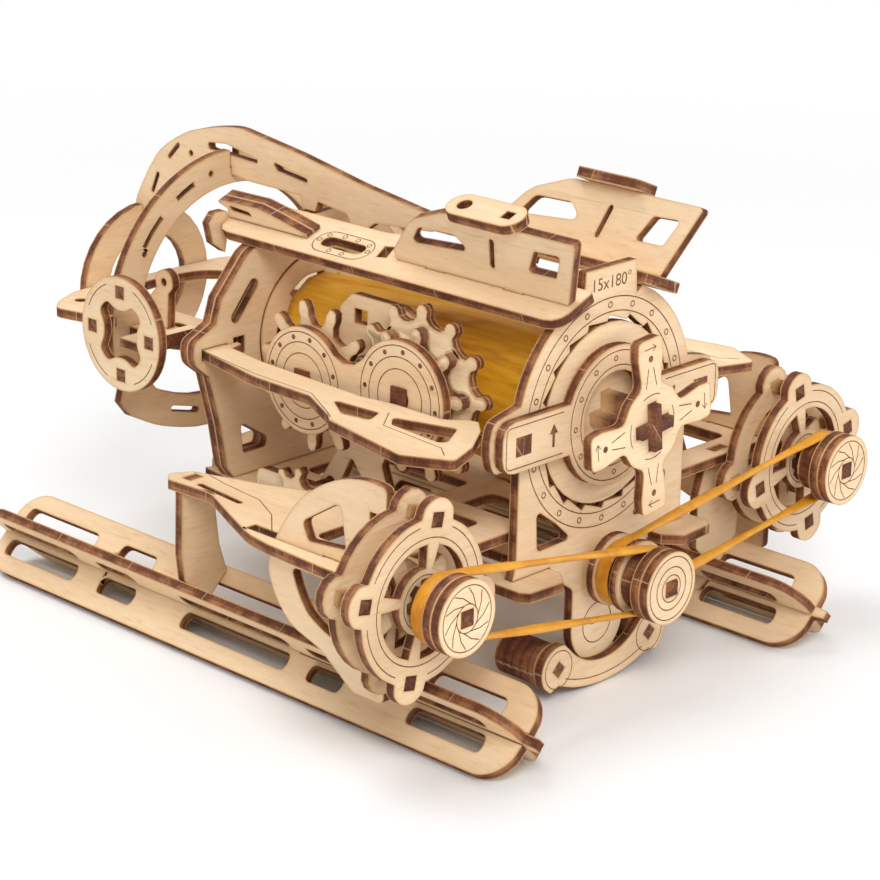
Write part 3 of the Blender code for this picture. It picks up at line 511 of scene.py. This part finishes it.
def scorch_strips(work, flat, scorch, tone, value):
    """Lay a narrow strip along each rim that fades from burnt to bare."""
    inward = {}
    rims = []
    for face in in_order(work, flat):
        for loop in rim_of(face, flat):
            a, b = loop.vert, loop.link_loop_next.vert
            step = face.normal.cross(b.co - a.co)
            if step.length < NO_LENGTH:
                continue
            step.normalize()
            side = tuple(round(c, 1) for c in face.normal)
            rims.append((a, b, side, face.normal.copy()))
            inward.setdefault((a, side), []).append(step)
            inward.setdefault((b, side), []).append(step)
    for a, b, side, normal in rims:
        outer, inner = [], []
        for vert in (a, b):
            steps = inward[(vert, side)]
            both = sum(steps, Vector())
            if both.length < OPPOSED:
                both = steps[0].copy()
            reach = SCORCH / max(SHARPEST, both.length / len(steps))
            outer.append(vert.co + normal * SCORCH_LIFT)
            inner.append(vert.co + both.normalized() * reach + normal * SCORCH_LIFT)
        made = work.faces.new([work.verts.new(p) for p in (*outer, *reversed(inner))])
        for loop, amount in zip(made.loops, SCORCH_MARKS):
            loop[scorch] = amount
            loop[tone] = value


def outline_loops(work, top):
    """The closed chains of corners round the top faces and round their holes."""
    onward = {}
    for face in in_order(work, top):
        for loop in face.loops:
            if not any(other in top for other in loop.edge.link_faces if other is not face):
                onward.setdefault(loop.vert, []).append(loop.link_loop_next.vert)
    loops = []
    while onward:
        start = next(iter(onward))
        chain = []
        here = start
        while not chain or here is not start:
            chain.append(here)
            ahead = onward[here].pop()
            if not onward[here]:
                del onward[here]
            here = ahead
        loops.append(chain)
    return loops


def curved_edges(steps):
    """Which edges of an outline are chords of a curve, told by the turns and lengths beside them."""
    count = len(steps)
    turns = []
    for i in range(count):
        a, b = steps[i - 1], steps[i]
        turns.append(math.atan2(a.x * b.y - a.y * b.x, a.dot(b)))
    chords = []
    for i in range(count):
        t1, t2 = turns[i], turns[(i + 1) % count]
        alike = t1 * t2 > 0 and ALIKE_LEAST < abs(t1 / t2) < ALIKE_MOST
        bends = LEAST_TURN < abs(t1) < CURVE_TURN and LEAST_TURN < abs(t2) < CURVE_TURN
        beside = max(steps[i - 1].length, steps[(i + 1) % count].length)
        straight = beside < SMALL_STEP and steps[i].length > STRAIGHT_SHARE * beside
        chords.append(alike and bends and not straight and steps[i].length < CURVE_CHORD)
    return chords


def rounded(points):
    """Draw the curves of an outline again with shorter steps, and leave its corners."""
    count = len(points)
    steps = [points[(i + 1) % count] - points[i] for i in range(count)]
    chords = curved_edges(steps)
    out = []
    for i in range(count):
        out.append(points[i])
        if not chords[i]:
            continue
        j = (i + 1) % count
        before, this, after = steps[i - 1], steps[i], steps[j]
        first = (before.normalized() + this.normalized()) if chords[i - 1] else before
        last = (this.normalized() + after.normalized()) if chords[j] else after
        reach = this.length
        first, last = first.normalized() * reach, last.normalized() * reach
        parts = 3 if reach > TINY_STEP else 2
        for k in range(1, parts):
            t = k / parts
            h1, h2 = 2 * t ** 3 - 3 * t ** 2 + 1, t ** 3 - 2 * t ** 2 + t
            h3, h4 = 3 * t ** 2 - 2 * t ** 3, t ** 3 - t ** 2
            out.append(points[i] * h1 + first * h2 + points[j] * h3 + last * h4)
    return out


def smooth_sheet(work, best, flat):
    """A plain sheet again with rounder curves, or None where a piece is more than one plain sheet."""
    heights = [vert.co.dot(best) for vert in work.verts]
    low, high = min(heights), max(heights)
    between = any(min(h - low, high - h) > FLAT_SLACK for h in heights)
    if between or high - low > THICKEST_SHEETS * SHEET * MM:
        return None
    top = {f for f in flat if f.normal.dot(best) > 0}
    u = best.orthogonal().normalized()
    v = best.cross(u)
    curve = bpy.data.curves.new("outline", "CURVE")
    curve.dimensions = "2D"
    curve.fill_mode = "BOTH"
    curve.extrude = (high - low) / 2
    for chain in outline_loops(work, top):
        loop = rounded([Vector((vert.co.dot(u), vert.co.dot(v))) for vert in chain])
        spline = curve.splines.new("POLY")
        spline.points.add(len(loop) - 1)
        for point, p in zip(spline.points, loop):
            point.co = (p.x, p.y, 0.0, 1.0)
        spline.use_cyclic_u = True
    mesh = mesh_of_curve("outline", curve)
    mesh.transform(axes_at(u, v, best, best * (low + high) / 2))
    fresh = bmesh.new()
    fresh.from_mesh(mesh)
    bpy.data.meshes.remove(mesh)
    bmesh.ops.remove_doubles(fresh, verts=fresh.verts, dist=CURVE_MERGE)
    bmesh.ops.recalc_face_normals(fresh, faces=fresh.faces)
    fresh.normal_update()
    return fresh


def side_of(vert, flat, best):
    """1 or -1 for a corner of the sheet's front or back, 0 for a corner between them."""
    for face in vert.link_faces:
        if face in flat:
            return 1.0 if face.normal.dot(best) > 0 else -1.0
    return 0.0


def sheet_count(flat, best):
    places = [face.calc_center_median().dot(best) for face in flat]
    thick = (max(places) - min(places)) / (SHEET * MM)
    return 2.0 if abs(thick - 2) < SHEET_SLACK else 1.0


def finish_plate(name, order):
    work = bmesh.new()
    work.from_mesh(nodes[name].data)
    bmesh.ops.remove_doubles(work, verts=work.verts, dist=MERGE)
    work.normal_update()
    best = main_normal(work)
    flat = flat_faces(work, best, name)
    fresh = smooth_sheet(work, best, flat)
    if fresh:
        work.free()
        work = fresh
        flat = flat_faces(work, best, name)
    scorch, tone, depth, sheets = surface_layers(work)
    value = (order * TONE_STEP) % 1.0
    layers = sheet_count(flat, best)
    for face in work.faces:
        depths = [side_of(loop.vert, flat, best) for loop in face.loops]
        if min(depths) == max(depths):
            depths = [INSIDE_DEPTH] * len(depths)
        for loop, depth_here in zip(face.loops, depths):
            loop[scorch] = 0.0 if face in flat else 1.0
            loop[tone] = value
            loop[depth] = depth_here
            loop[sheets] = layers
    scorch_strips(work, flat, scorch, tone, value)
    kind = "across" if abs(best.y) > 0.8 else "along" if abs(best.x) > 0.8 else "level"
    mesh = mesh_of(f"{name}_ply", work, BIRCH[kind])
    mesh.shade_smooth()
    mesh.set_sharp_from_angle(angle=SHARP)
    add_piece(f"{name}_ply", mesh, bodies_of[name], name)


for order, name in enumerate(sorted(nodes)):
    if name not in RUBBER_NODES:
        finish_plate(name, order)


# Engraving: thin ribbons of burnt line laid on the faces
def ribbon(work, points, closed, width, place):
    count = len(points)
    pairs = []
    for i, p in enumerate(points):
        before = points[i - 1] if closed or i > 0 else p
        after = points[(i + 1) % count] if closed or i < count - 1 else p
        d = Vector(after) - Vector(before)
        n = Vector((-d.y, d.x)).normalized() * width / 2
        pairs.append(on_plane(work, place, (Vector(p) + n, Vector(p) - n)))
    onward = pairs[1:] + pairs[:1] if closed else pairs[1:]
    for a, b in zip(pairs, onward):
        work.faces.new((a[0], a[1], b[1], b[0]))


def engrave(name, body, place, open_lines=(), closed_lines=(), width=0.3):
    work = bmesh.new()
    for line in open_lines:
        ribbon(work, line, False, width, place)
    for line in closed_lines:
        ribbon(work, line, True, width, place)
    add_piece(name, mesh_of(name, work, LINE), body)


def patch(name, body, place, loops):
    """Small burnt areas."""
    work = bmesh.new()
    for loop in loops:
        work.faces.new(on_plane(work, place, loop))
    add_piece(name, mesh_of(name, work, LINE), body)


def figures(name, body, place, words, cx, cy, height):
    """Plain numbers burnt into a face."""
    curve = bpy.data.curves.new(name, "FONT")
    curve.body = words
    curve.size = height
    curve.align_x = "CENTER"
    curve.align_y = "CENTER"
    mesh = mesh_of_curve(name, curve)
    mesh.transform(Matrix.Scale(MM, 4) @ place @ Matrix.Translation((cx, cy, 0.0)))
    mesh.materials.clear()
    mesh.materials.append(LINE)
    add_piece(name, mesh, body)


def end_blocks(name, body, place, rects, proud, pale_top=False):
    """Square ends of tabs, axles and rods that stand out of a face or lie in it."""
    work = bmesh.new()
    layers = surface_layers(work)
    for corners in rects:
        low = on_plane(work, place, corners)
        high = on_plane(work, place, corners, proud)
        work.faces.new(high)
        work.faces.new(list(reversed(low)))
        for i in range(len(corners)):
            work.faces.new((low[i - 1], low[i], high[i], high[i - 1]))
    bmesh.ops.recalc_face_normals(work, faces=work.faces)
    for face in work.faces:
        pale = pale_top and abs(face.normal.z) > 0.9
        values = (0.0 if pale else 1.0, BLOCK_TONE, INSIDE_DEPTH, 1.0)
        for loop in face.loops:
            for layer, value in zip(layers, values):
                loop[layer] = value
    add_piece(name, mesh_of(name, work, BIRCH["across"]), body)


# Repeated marks: small burnt rings or dots set round a circle
MARK_CORNERS = 14


def marks_tree():
    tree, w, given, out = new_group("marks_on_circle", "GeometryNodeTree", [
        ("Geometry", "NodeSocketGeometry", None), ("Count", "NodeSocketInt", 12),
        ("Circle Radius", "NodeSocketFloat", 10 * MM), ("Mark Radius", "NodeSocketFloat", 1 * MM),
        ("Inner Share", "NodeSocketFloat", 0.6), ("Start Angle", "NodeSocketFloat", 0.0),
        ("Finish", "NodeSocketMaterial", None),
    ], [("Geometry", "NodeSocketGeometry")])
    circle = w.put("GeometryNodeMeshCircle", {"Vertices": given["Count"], "Radius": given["Circle Radius"]},
                   fill_type="NONE")
    angle = w.put("ShaderNodeCombineXYZ", {"Z": given["Start Angle"]})
    turn = w.put("GeometryNodeTransform", {"Geometry": circle.outputs[0], "Rotation": angle.outputs[0]})
    disc = w.put("GeometryNodeMeshCircle", {"Vertices": MARK_CORNERS, "Radius": given["Mark Radius"]},
                 fill_type="NGON")
    hole = w.put("GeometryNodeExtrudeMesh", {
        "Mesh": disc.outputs[0], "Individual": True, "Offset Scale": 0.0}, mode="FACES").outputs
    shrink = w.put("GeometryNodeScaleElements", {
        "Geometry": hole["Mesh"], "Selection": hole["Top"], "Scale": given["Inner Share"]}, domain="FACE")
    is_ring = w.math("GREATER_THAN", given["Inner Share"], 0.05)
    mark = w.put("GeometryNodeDeleteGeometry", {
        "Geometry": shrink.outputs[0], "Selection": w.math("MULTIPLY", hole["Top"], is_ring)}, domain="FACE")
    place = w.put("GeometryNodeInstanceOnPoints", {"Points": turn.outputs[0], "Instance": mark.outputs[0]})
    real = w.put("GeometryNodeRealizeInstances", {"Geometry": place.outputs[0]})
    dress = w.put("GeometryNodeSetMaterial", {"Geometry": real.outputs[0], "Material": given["Finish"]})
    w.fill(out, {"Geometry": dress.outputs[0]})
    return tree


MARKS = marks_tree()
SOCKETS = {item.name: item.identifier for item in MARKS.interface.items_tree if item.in_out == "INPUT"}


def marks(name, body, place, middle, count, radius, mark, inner=0.0, start=0.0):
    """Rings where inner is a share of the mark's own radius, and dots where it is 0."""
    host = bpy.data.objects.new(f"{name}_host", bpy.data.meshes.new(f"{name}_host"))
    scene.collection.objects.link(host)
    mod = host.modifiers.new("marks", "NODES")
    mod.node_group = MARKS
    values = {"Count": count, "Circle Radius": radius * MM, "Mark Radius": mark * MM, "Inner Share": inner,
              "Start Angle": math.radians(start), "Finish": LINE}
    for label, value in values.items():
        mod[SOCKETS[label]] = value
    mesh = evaluated_mesh(host)
    host.modifiers.clear()
    bpy.data.objects.remove(host)
    centre = place @ Matrix.Translation((*middle, 0.0))
    centre.translation = centre.translation * MM
    mesh.transform(centre)
    add_piece(name, mesh, body)


# Stern plate: the dial's rings with twenty marks, the number on its tab, and the keel's circle
dial = across(-LIFT)
KEEL_Z = 17.2
keel_ticks = [[(start, KEEL_Z), (end, KEEL_Z)] for start, end in ((-2.6, -1.0), (1.0, 2.6))]
dial_rings = [ring(0, AXIS_Z, r, 72) for r in (28.7, 32.7)]
engrave("dial_lines", "hull", dial, keel_ticks, [*dial_rings, ring(0, KEEL_Z, 6.0)], width=0.34)
marks("dial_marks", "hull", dial, (0, AXIS_Z), count=20, radius=30.7, mark=0.95, inner=0.62, start=90)
figures("dial_figures", "hull", dial, "15x180\u00b0", cx=0.2, cy=AXIS_Z + 37.0, height=5.0)


# Retaining bar: ring marks, an inset line round each arm, an arrow and the rod's end
def arrow(x, z, way):
    """A shaft and a head that points up, where way is 1, or down."""
    tail, neck, tip = z - way * 3.2, z + way * 0.6, z + way * 3.4
    shaft = [(x - 0.5, tail), (x + 0.5, tail), (x + 0.5, neck), (x - 0.5, neck)]
    head = [(x - 1.7, neck), (x + 1.7, neck), (x, tip)]
    return [shaft, head]


INSET_START, INSET_END = 21.6, 42.6
INSET_HALF, INSET_ROUND = 4.2, 1.6
ARROW_X = 25.4
ROD_X = 37.4
SHEET_MIDDLE = 1.56
inset = [(INSET_START, AXIS_Z - INSET_HALF - INSET_ROUND)]
inset += arc(INSET_END, AXIS_Z - INSET_HALF, INSET_ROUND, -90, 0, 3)
inset += arc(INSET_END, AXIS_Z + INSET_HALF, INSET_ROUND, 0, 90, 3)
inset += [(INSET_START, AXIS_Z + INSET_HALF + INSET_ROUND)]
inset_lines = []
arrows = []
rod_ends = []
for side in (-1, 1):
    inset_lines.append([(side * x, z) for x, z in inset])
    arrows += arrow(side * ARROW_X, AXIS_Z, -side)
    for half in (-1, 1):
        rod_ends.append(rect(side * ROD_X + half * SHEET_MIDDLE, AXIS_Z, width=2.85, height=5.4))
bar = across(BAR_FACE - LIFT)
bar_rings = [ring(0, AXIS_Z, r, 60) for r in (14.3, 18.4)]
engrave("bar_lines", "hull", bar, inset_lines, bar_rings, width=0.32)
marks("bar_marks", "hull", bar, (0, AXIS_Z), count=12, radius=16.4, mark=0.85, inner=0.6, start=2)
patch("bar_arrows", "hull", bar, arrows)
end_blocks("bar_rod_ends", "hull", across(BLOCK_FACE), rod_ends, proud=0.25)

# Cross key: an arc, two rays, a small arrow and a dot on each arm
KEY_TURN = 6.0
KEY_ARC_R, KEY_ARC_HALF = 9.2, 22
KEY_ARM = (
    [(11.5, AXIS_Z - 2.2), (17.0, AXIS_Z - 1.0)],
    [(11.5, AXIS_Z + 2.2), (17.0, AXIS_Z + 1.0)],
    [(22.6, AXIS_Z + 2.4), (22.6, AXIS_Z - 2.2)],
    [(21.6, AXIS_Z - 0.9), (22.6, AXIS_Z - 2.3), (23.6, AXIS_Z - 0.9)],
)
key = across(KEY_FACE - LIFT)
key_lines = []
for quarter in QUARTERS:
    turn = KEY_TURN + quarter
    key_lines.append(arc(0, AXIS_Z, KEY_ARC_R, turn - KEY_ARC_HALF, turn + KEY_ARC_HALF, 8))
    key_lines += [spun(line, 0, AXIS_Z, turn) for line in KEY_ARM]
engrave("key_lines", "winder", key, key_lines)
marks("key_dots", "winder", key, (0, AXIS_Z), count=4, radius=19.6, mark=0.95, start=KEY_TURN)


# Pulleys and pods
IRIS_INNER, IRIS_OUTER = 3.9, 8.4
IRIS_BLADES = 10
IRIS_BEND, IRIS_SWEEP = 34, 52
LOBES = (78, 168, 258, 348)
LOBE_GAP = 17


def iris(cx, cz):
    """Bent lines that run outwards as a shutter's blades do."""
    lines = []
    for k in range(IRIS_BLADES):
        a = 360.0 / IRIS_BLADES * k
        lines.append([at_angle(cx, cz, IRIS_INNER, a),
                      at_angle(cx, cz, (IRIS_INNER + IRIS_OUTER) / 2, a + IRIS_BEND),
                      at_angle(cx, cz, IRIS_OUTER, a + IRIS_SWEEP)])
    return lines


engrave("middle_pulley_lines", "middle_drive", across(MIDDLE_PULLEY_FACE - LIFT),
        closed_lines=[ring(0, PULLEY_Z, r) for r in (3.9, 6.2, 9.1)], width=0.34)
for side, word in SIDES:
    cx = side * POD_X
    engrave(f"pod_pulley_lines_{word}", f"pod_drive_{word}", across(POD_PULLEY_FACE - LIFT),
            iris(cx, POD_Z), [ring(cx, POD_Z, IRIS_INNER), ring(cx, POD_Z, 8.9)])
    lobes = sorted(90 - side * (angle - 90) for angle in LOBES)
    engrave(f"pod_ring_lines_{word}", "hull", across(POD_RING_FACE - LIFT),
            [arc(cx, POD_Z, 20.6, lobe + LOBE_GAP, lobe + 90 - LOBE_GAP, 14) for lobe in lobes],
            [ring(cx, POD_Z, 17.2, 60), ring(cx, POD_Z, 7.4, 32)])

# Gear cover: rings and rivet dots round both axles, and the axles' square ends in two sheets
AXLE_SHEET_MIDDLE = 1.42
cover = along(COVER_FACE - LIFT)
cover_rings = []
for middle, radii in ((GEAR_A, (14.2, 11.2, 8.0)), (GEAR_B, (15.0, 11.8, 8.4))):
    cover_rings += [ring(*middle, r, count) for r, count in zip(radii, (60, 60, 48))]
engrave("cover_lines", "hull", cover, closed_lines=cover_rings)
marks("cover_dots_bow", "hull", cover, GEAR_A, count=12, radius=12.7, mark=0.75, start=12)
marks("cover_dots_stern", "hull", cover, GEAR_B, count=12, radius=13.4, mark=0.75, start=4)
for (cy, cz), word in ((GEAR_A, "bow"), (GEAR_B, "stern")):
    halves = [rect(cy + half * AXLE_SHEET_MIDDLE, cz, width=2.7, height=6.6) for half in (-1, 1)]
    end_blocks(f"axle_end_{word}", f"gear_{word}_body", along(COVER_FACE), halves, proud=-0.85)

# Side wheels: an arc beside each lobe, the dark ends of four tabs, and the arms that carry them
WHEEL_ARC_R, WHEEL_ARC_HALF = 15.2, 22
TAB_R, TAB_SIZE, TAB_FACE = 12.6, 3.7, 55.3
WHEEL_ARM = rect(126.2, 81.65, width=3.6, height=4.3)
WHEEL_ARM_START, WHEEL_ARM_LENGTH = 38.0, 14.6
ARCH_ARM = rect(151.5, 82.0, width=3.0, height=3.6)
ARCH_ARM_START, ARCH_ARM_LENGTH = 47.6, 5.0
for side, word in SIDES:
    wheel_lines = []
    for quarter in QUARTERS:
        a = quarter + 45
        wheel_lines.append(arc(*WHEEL, WHEEL_ARC_R, a - WHEEL_ARC_HALF, a + WHEEL_ARC_HALF, 10))
    engrave(f"wheel_lines_{word}", "hull", along(side * (WHEEL_FACE + LIFT)), wheel_lines)
    tabs = [rect(*at_angle(*WHEEL, TAB_R, quarter), TAB_SIZE, TAB_SIZE) for quarter in QUARTERS]
    patch(f"wheel_tabs_{word}", "hull", along(side * TAB_FACE), tabs)
    end_blocks(f"wheel_arm_{word}", "hull", along(side * WHEEL_ARM_START), [WHEEL_ARM],
               proud=side * WHEEL_ARM_LENGTH, pale_top=True)
    end_blocks(f"arch_arm_{word}", "hull", along(side * ARCH_ARM_START), [ARCH_ARM],
               proud=side * ARCH_ARM_LENGTH, pale_top=True)

# Side rails and wings, drawn for port
RAIL_LINES = [[(-46.6, 113), (-50.6, 86), (-51.2, 63), (-59.6, 48), (-62, 44.4)],
              [(-47.6, 36.5), (-56.4, 30.0), (-58.6, 6.6), (-62.4, 2)]]
WING_LINES = [[(-62.2, 93), (-63.9, 84.7), (-65.8, 68.3), (-71.3, 57.5), (-80.5, 47.6)]]
for side, word in SIDES:
    engrave(f"rail_lines_{word}", "hull", level(RAIL_TOP + LIFT), mirrored(RAIL_LINES, side))
    engrave(f"wing_lines_{word}", "hull", level(WING_TOP + LIFT), mirrored(WING_LINES, side))

# Roof panels: a porthole framed by a long ring with eight marks
TILT = math.radians(22.0)
ROOF_X, ROOF_Z = 17.5, 113.4
PORTHOLE_X, PORTHOLE_R = 2.6, 4.9
PORTHOLE_STERN, PORTHOLE_BOW = 76, 88
PORTHOLE_MARKS = ((0, 91.6), (2.7, 90.0), (3.6, 84.6), (3.6, 79.4),
                  (2.7, 74.0), (0, 72.4), (-3.6, 79.4), (-3.6, 84.6))
for side, word in SIDES:
    slope = (math.cos(TILT), 0, -side * math.sin(TILT))
    roof = tilted((side * ROOF_X, 0, ROOF_Z), slope, (0, 1, 0), SHEET / 2 + LIFT)
    x = side * PORTHOLE_X
    frame_ring = arc(x, PORTHOLE_BOW, PORTHOLE_R, 0, 180, 12)
    frame_ring += arc(x, PORTHOLE_STERN, PORTHOLE_R, 180, 360, 12)
    engrave(f"porthole_ring_{word}", "hull", roof, closed_lines=[frame_ring])
    engrave(f"porthole_marks_{word}", "hull", roof,
            closed_lines=[ring(x + mx, my, 0.7, 12) for mx, my in PORTHOLE_MARKS], width=0.28)

# Link under the keel: a long arc along it, and a ring and a stud at each end
LINK_ARC_Z, LINK_ARC_R = 47.0, 44.4
STUD = 3.5
engrave("link_lines", "hull", across(LINK_FACE - LIFT), [arc(0, LINK_ARC_Z, LINK_ARC_R, -112, -68, 16)],
        [ring(side * LINK_X, LINK_Z, 5.6, 32) for side in (-1, 1)])
patch("link_studs", "hull", across(BLOCK_FACE),
      [rect(side * LINK_X, LINK_Z, STUD, STUD, turn=45) for side in (-1, 1)])

# Rubber: flat belts that run where the solids do, and the motor's bundle
BELT_R = 9.3
BELT_CORNERS = 12
DRUM_STEPS, RUN_STEPS = 22, 28
LONGEST_DRUM_STEP = 20
DRUM_THIN, DRUM_WIDE = 0.5, 2.3
RUN_THIN, RUN_WIDE = 0.9, 1.55
NARROWING = 12.0
TWIST, TWIST_WAVES = 0.5, 9


def tube(work, rings, closed=False):
    """Join rings of corners one after another, and the last to the first where the tube is closed."""
    for a, b in zip(rings, rings[1:] + rings[:1] if closed else rings[1:]):
        for k in range(len(a)):
            m = (k + 1) % len(a)
            work.faces.new((a[k], a[m], b[m], b[k]))


def rubber_piece(name, work, replaced, finish):
    bmesh.ops.recalc_face_normals(work, faces=work.faces)
    mesh = mesh_of(name, work, finish)
    mesh.shade_smooth()
    add_piece(name, mesh, "hull", replaced)


def belt_ring(work, before, here, after, thin, wide, twist):
    """The corners of a flat, turned section that stands across the belt's way."""
    t = (Vector(after) - Vector(before)).normalized()
    side = t.cross(Vector((0, 1, 0))).normalized()
    up = side.cross(t).normalized()
    c, s = math.cos(twist), math.sin(twist)
    a_dir, b_dir = side * c + up * s, up * c - side * s
    corners = []
    for k in range(BELT_CORNERS):
        a = 2 * math.pi * (k + 0.5) / BELT_CORNERS
        q = Vector(here) + a_dir * math.cos(a) * thin + b_dir * math.sin(a) * wide
        corners.append(work.verts.new(q * MM))
    return corners


def belt(name, replaced, side, middle_y, pod_y, wave):
    """One belt from the middle drum to a pod's: wide on the drums, narrower and slightly twisted between."""
    x1, y1, z1 = 0, middle_y, PULLEY_Z
    x2, y2, z2 = side * POD_X, pod_y, POD_Z
    lean = math.degrees(math.atan2(z2 - z1, x2 - x1))
    points = arc(x2, z2, BELT_R, lean - 90, lean + 90, DRUM_STEPS)
    points += arc(x1, z1, BELT_R, lean + 90, lean + 270, DRUM_STEPS)
    path, sections = [], []
    for (px, pz), (qx, qz) in zip(points, points[1:] + points[:1]):
        far = math.hypot(qx - px, qz - pz)
        steps = RUN_STEPS if far > LONGEST_DRUM_STEP else 1
        for k in range(steps):
            f = k / steps
            x, z = px + (qx - px) * f, pz + (qz - pz) * f
            ease = min(1.0, min(f, 1 - f) * far / NARROWING)
            ease = ease * ease * (3 - 2 * ease)
            path.append((x, y1 + (y2 - y1) * (x - x1) / (x2 - x1) + SHIFT_Y, z))
            thin = DRUM_THIN + (RUN_THIN - DRUM_THIN) * ease
            wide = DRUM_WIDE + (RUN_WIDE - DRUM_WIDE) * ease
            sections.append((thin, wide, ease * TWIST * math.sin(wave + TWIST_WAVES * f)))
    work = bmesh.new()
    count = len(path)
    rings = [belt_ring(work, path[i - 1], path[i], path[(i + 1) % count], *sections[i]) for i in range(count)]
    tube(work, rings, closed=True)
    rubber_piece(name, work, replaced, AMBER)


belt("belt_bands_left", "belt_left", -1, middle_y=-17.25, pod_y=-16.4, wave=0.4)
belt("belt_bands_right", "belt_right", 1, middle_y=-9.4, pod_y=-16.3, wave=1.9)

MOTOR_START, MOTOR_END = 8.0, 112.5
MOTOR_WIDE, MOTOR_NARROW = 21.9, 14.4
MOTOR_TALL = 1.12
MOTOR_AROUND, MOTOR_LENGTHS = 144, 36
MOTOR_SWING = 0.35
RIDGE_WAVES, RIDGE_HEIGHT, RIDGE_ROUND = 6.5, 0.45, 0.6
FINE_WAVES, FINE_HEIGHT = 31, 0.10


def motor_bundle():
    """The bundle of bands: a narrowing oval whose surface has ridges that swing and waver along it."""
    work = bmesh.new()
    rings = []
    for i in range(MOTOR_LENGTHS + 1):
        f = i / MOTOR_LENGTHS
        y = MOTOR_START + (MOTOR_END - MOTOR_START) * f + SHIFT_Y
        corners = []
        for k in range(MOTOR_AROUND):
            a = 2 * math.pi * k / MOTOR_AROUND
            swing = a + MOTOR_SWING * f
            ridge = abs(math.sin(RIDGE_WAVES * swing + 0.5 * math.sin(3 * f + a)))
            fine = math.sin(FINE_WAVES * swing + 2.0 * math.sin(5 * f + 2 * a))
            bare = MOTOR_WIDE + (MOTOR_NARROW - MOTOR_WIDE) * f
            r = bare + RIDGE_HEIGHT * ridge ** RIDGE_ROUND + FINE_HEIGHT * fine
            spot = Vector((r * math.cos(a), y, AXIS_Z + MOTOR_TALL * r * math.sin(a)))
            corners.append(work.verts.new(spot * MM))
        rings.append(corners)
    tube(work, rings)
    work.faces.new(rings[0])
    work.faces.new(list(reversed(rings[-1])))
    rubber_piece("rubber_bands", work, "rubber_motor", GOLDEN)


motor_bundle()


# Floor, light and camera, in metres
FLOOR_HALF = 6.0
FLOOR_DROP = 0.2 * MM
FADE_START, FADE_END = 0.30, 0.80


def pale_floor():
    """A pale floor with the object's shadow, which the camera sees fade to white away from the object."""
    work = bmesh.new()
    bmesh.ops.create_grid(work, x_segments=1, y_segments=1, size=FLOOR_HALF)
    paper, w, shader = new_finish("pale_floor")
    w.fill(shader, {"Base Color": grey(0.86), "Roughness": 0.9, "Specular IOR Level": 0.0})
    far = w.vector("LENGTH", w.place(), output="Value")
    fade = w.put("ShaderNodeMapRange", {"Value": far, "From Min": FADE_START, "From Max": FADE_END},
                 interpolation_type="SMOOTHSTEP").outputs["Result"]
    seen = w.math("MULTIPLY", fade, w.put("ShaderNodeLightPath").outputs["Is Camera Ray"])
    white = w.put("ShaderNodeEmission", {"Color": WHITE})
    mixed = w.put("ShaderNodeMixShader", {0: seen, 1: shader.outputs[0], 2: white.outputs[0]})
    w.fill(paper.node_tree.nodes["Material Output"], {"Surface": mixed.outputs[0]})
    floor = bpy.data.objects.new("floor", mesh_of("floor", work, paper))
    floor.location = (0, 0, -FLOOR_DROP)
    scene.collection.objects.link(floor)


def studio_world():
    """Even light from all round, which the camera sees as white."""
    world = bpy.data.worlds.new("studio")
    scene.world = world
    world.use_nodes = True
    w = Wires(world.node_tree)
    back = world.node_tree.nodes["Background"]
    w.fill(back, {"Color": WHITE, "Strength": 0.55})
    clear = w.put("ShaderNodeBackground", {"Color": WHITE, "Strength": 1.0})
    seen = w.put("ShaderNodeLightPath").outputs["Is Camera Ray"]
    mixed = w.put("ShaderNodeMixShader", {0: seen, 1: back.outputs[0], 2: clear.outputs[0]})
    w.fill(world.node_tree.nodes["World Output"], {"Surface": mixed.outputs[0]})


def lamp(name, at, size, power, look_at=(0, 0, 0.06)):
    light = bpy.data.lights.new(name, "AREA")
    light.shape = "DISK"
    light.size = size
    light.energy = power
    ob = bpy.data.objects.new(name, light)
    ob.location = at
    ob.rotation_euler = (Vector(look_at) - Vector(at)).to_track_quat("-Z", "Y").to_euler()
    scene.collection.objects.link(ob)


pale_floor()
studio_world()
lamp("key_light", (-0.9, -1.1, 1.3), size=0.9, power=18)
lamp("fill_light", (0.9, -1.0, 0.7), size=1.2, power=6)
lamp("top_light", (-0.2, 0.5, 1.5), size=1.0, power=10)

# The photograph's camera: its turn, fall and roll in degrees, its place, and its focal length in pixels
CAMERA_TURN, CAMERA_FALL, CAMERA_ROLL = 46.970, 18.885, 1.307
CAMERA_AT = (-553.58, -454.89 + SHIFT_Y, 314.73)
FOCAL_PIXELS = 2747.03
PHOTO_PIXELS = 880
SENSOR = 36.0


def photo_camera():
    turn, fall, roll = (math.radians(a) for a in (CAMERA_TURN, CAMERA_FALL, CAMERA_ROLL))
    right = Vector((math.cos(turn), -math.sin(turn), 0))
    ahead = Vector((math.sin(turn) * math.cos(fall), math.cos(turn) * math.cos(fall), -math.sin(fall)))
    up = right.cross(ahead)
    side_axis = right * math.cos(roll) + up * math.sin(roll)
    up_axis = up * math.cos(roll) - right * math.sin(roll)
    data = bpy.data.cameras.new("camera")
    data.sensor_width = SENSOR
    data.lens = FOCAL_PIXELS / PHOTO_PIXELS * SENSOR
    data.clip_start = 0.01
    data.clip_end = 20.0
    camera = bpy.data.objects.new("camera", data)
    camera.matrix_world = axes_at(side_axis, up_axis, -ahead, Vector(CAMERA_AT) * MM)
    scene.collection.objects.link(camera)
    scene.camera = camera


photo_camera()
scene.view_settings.view_transform = "Standard"
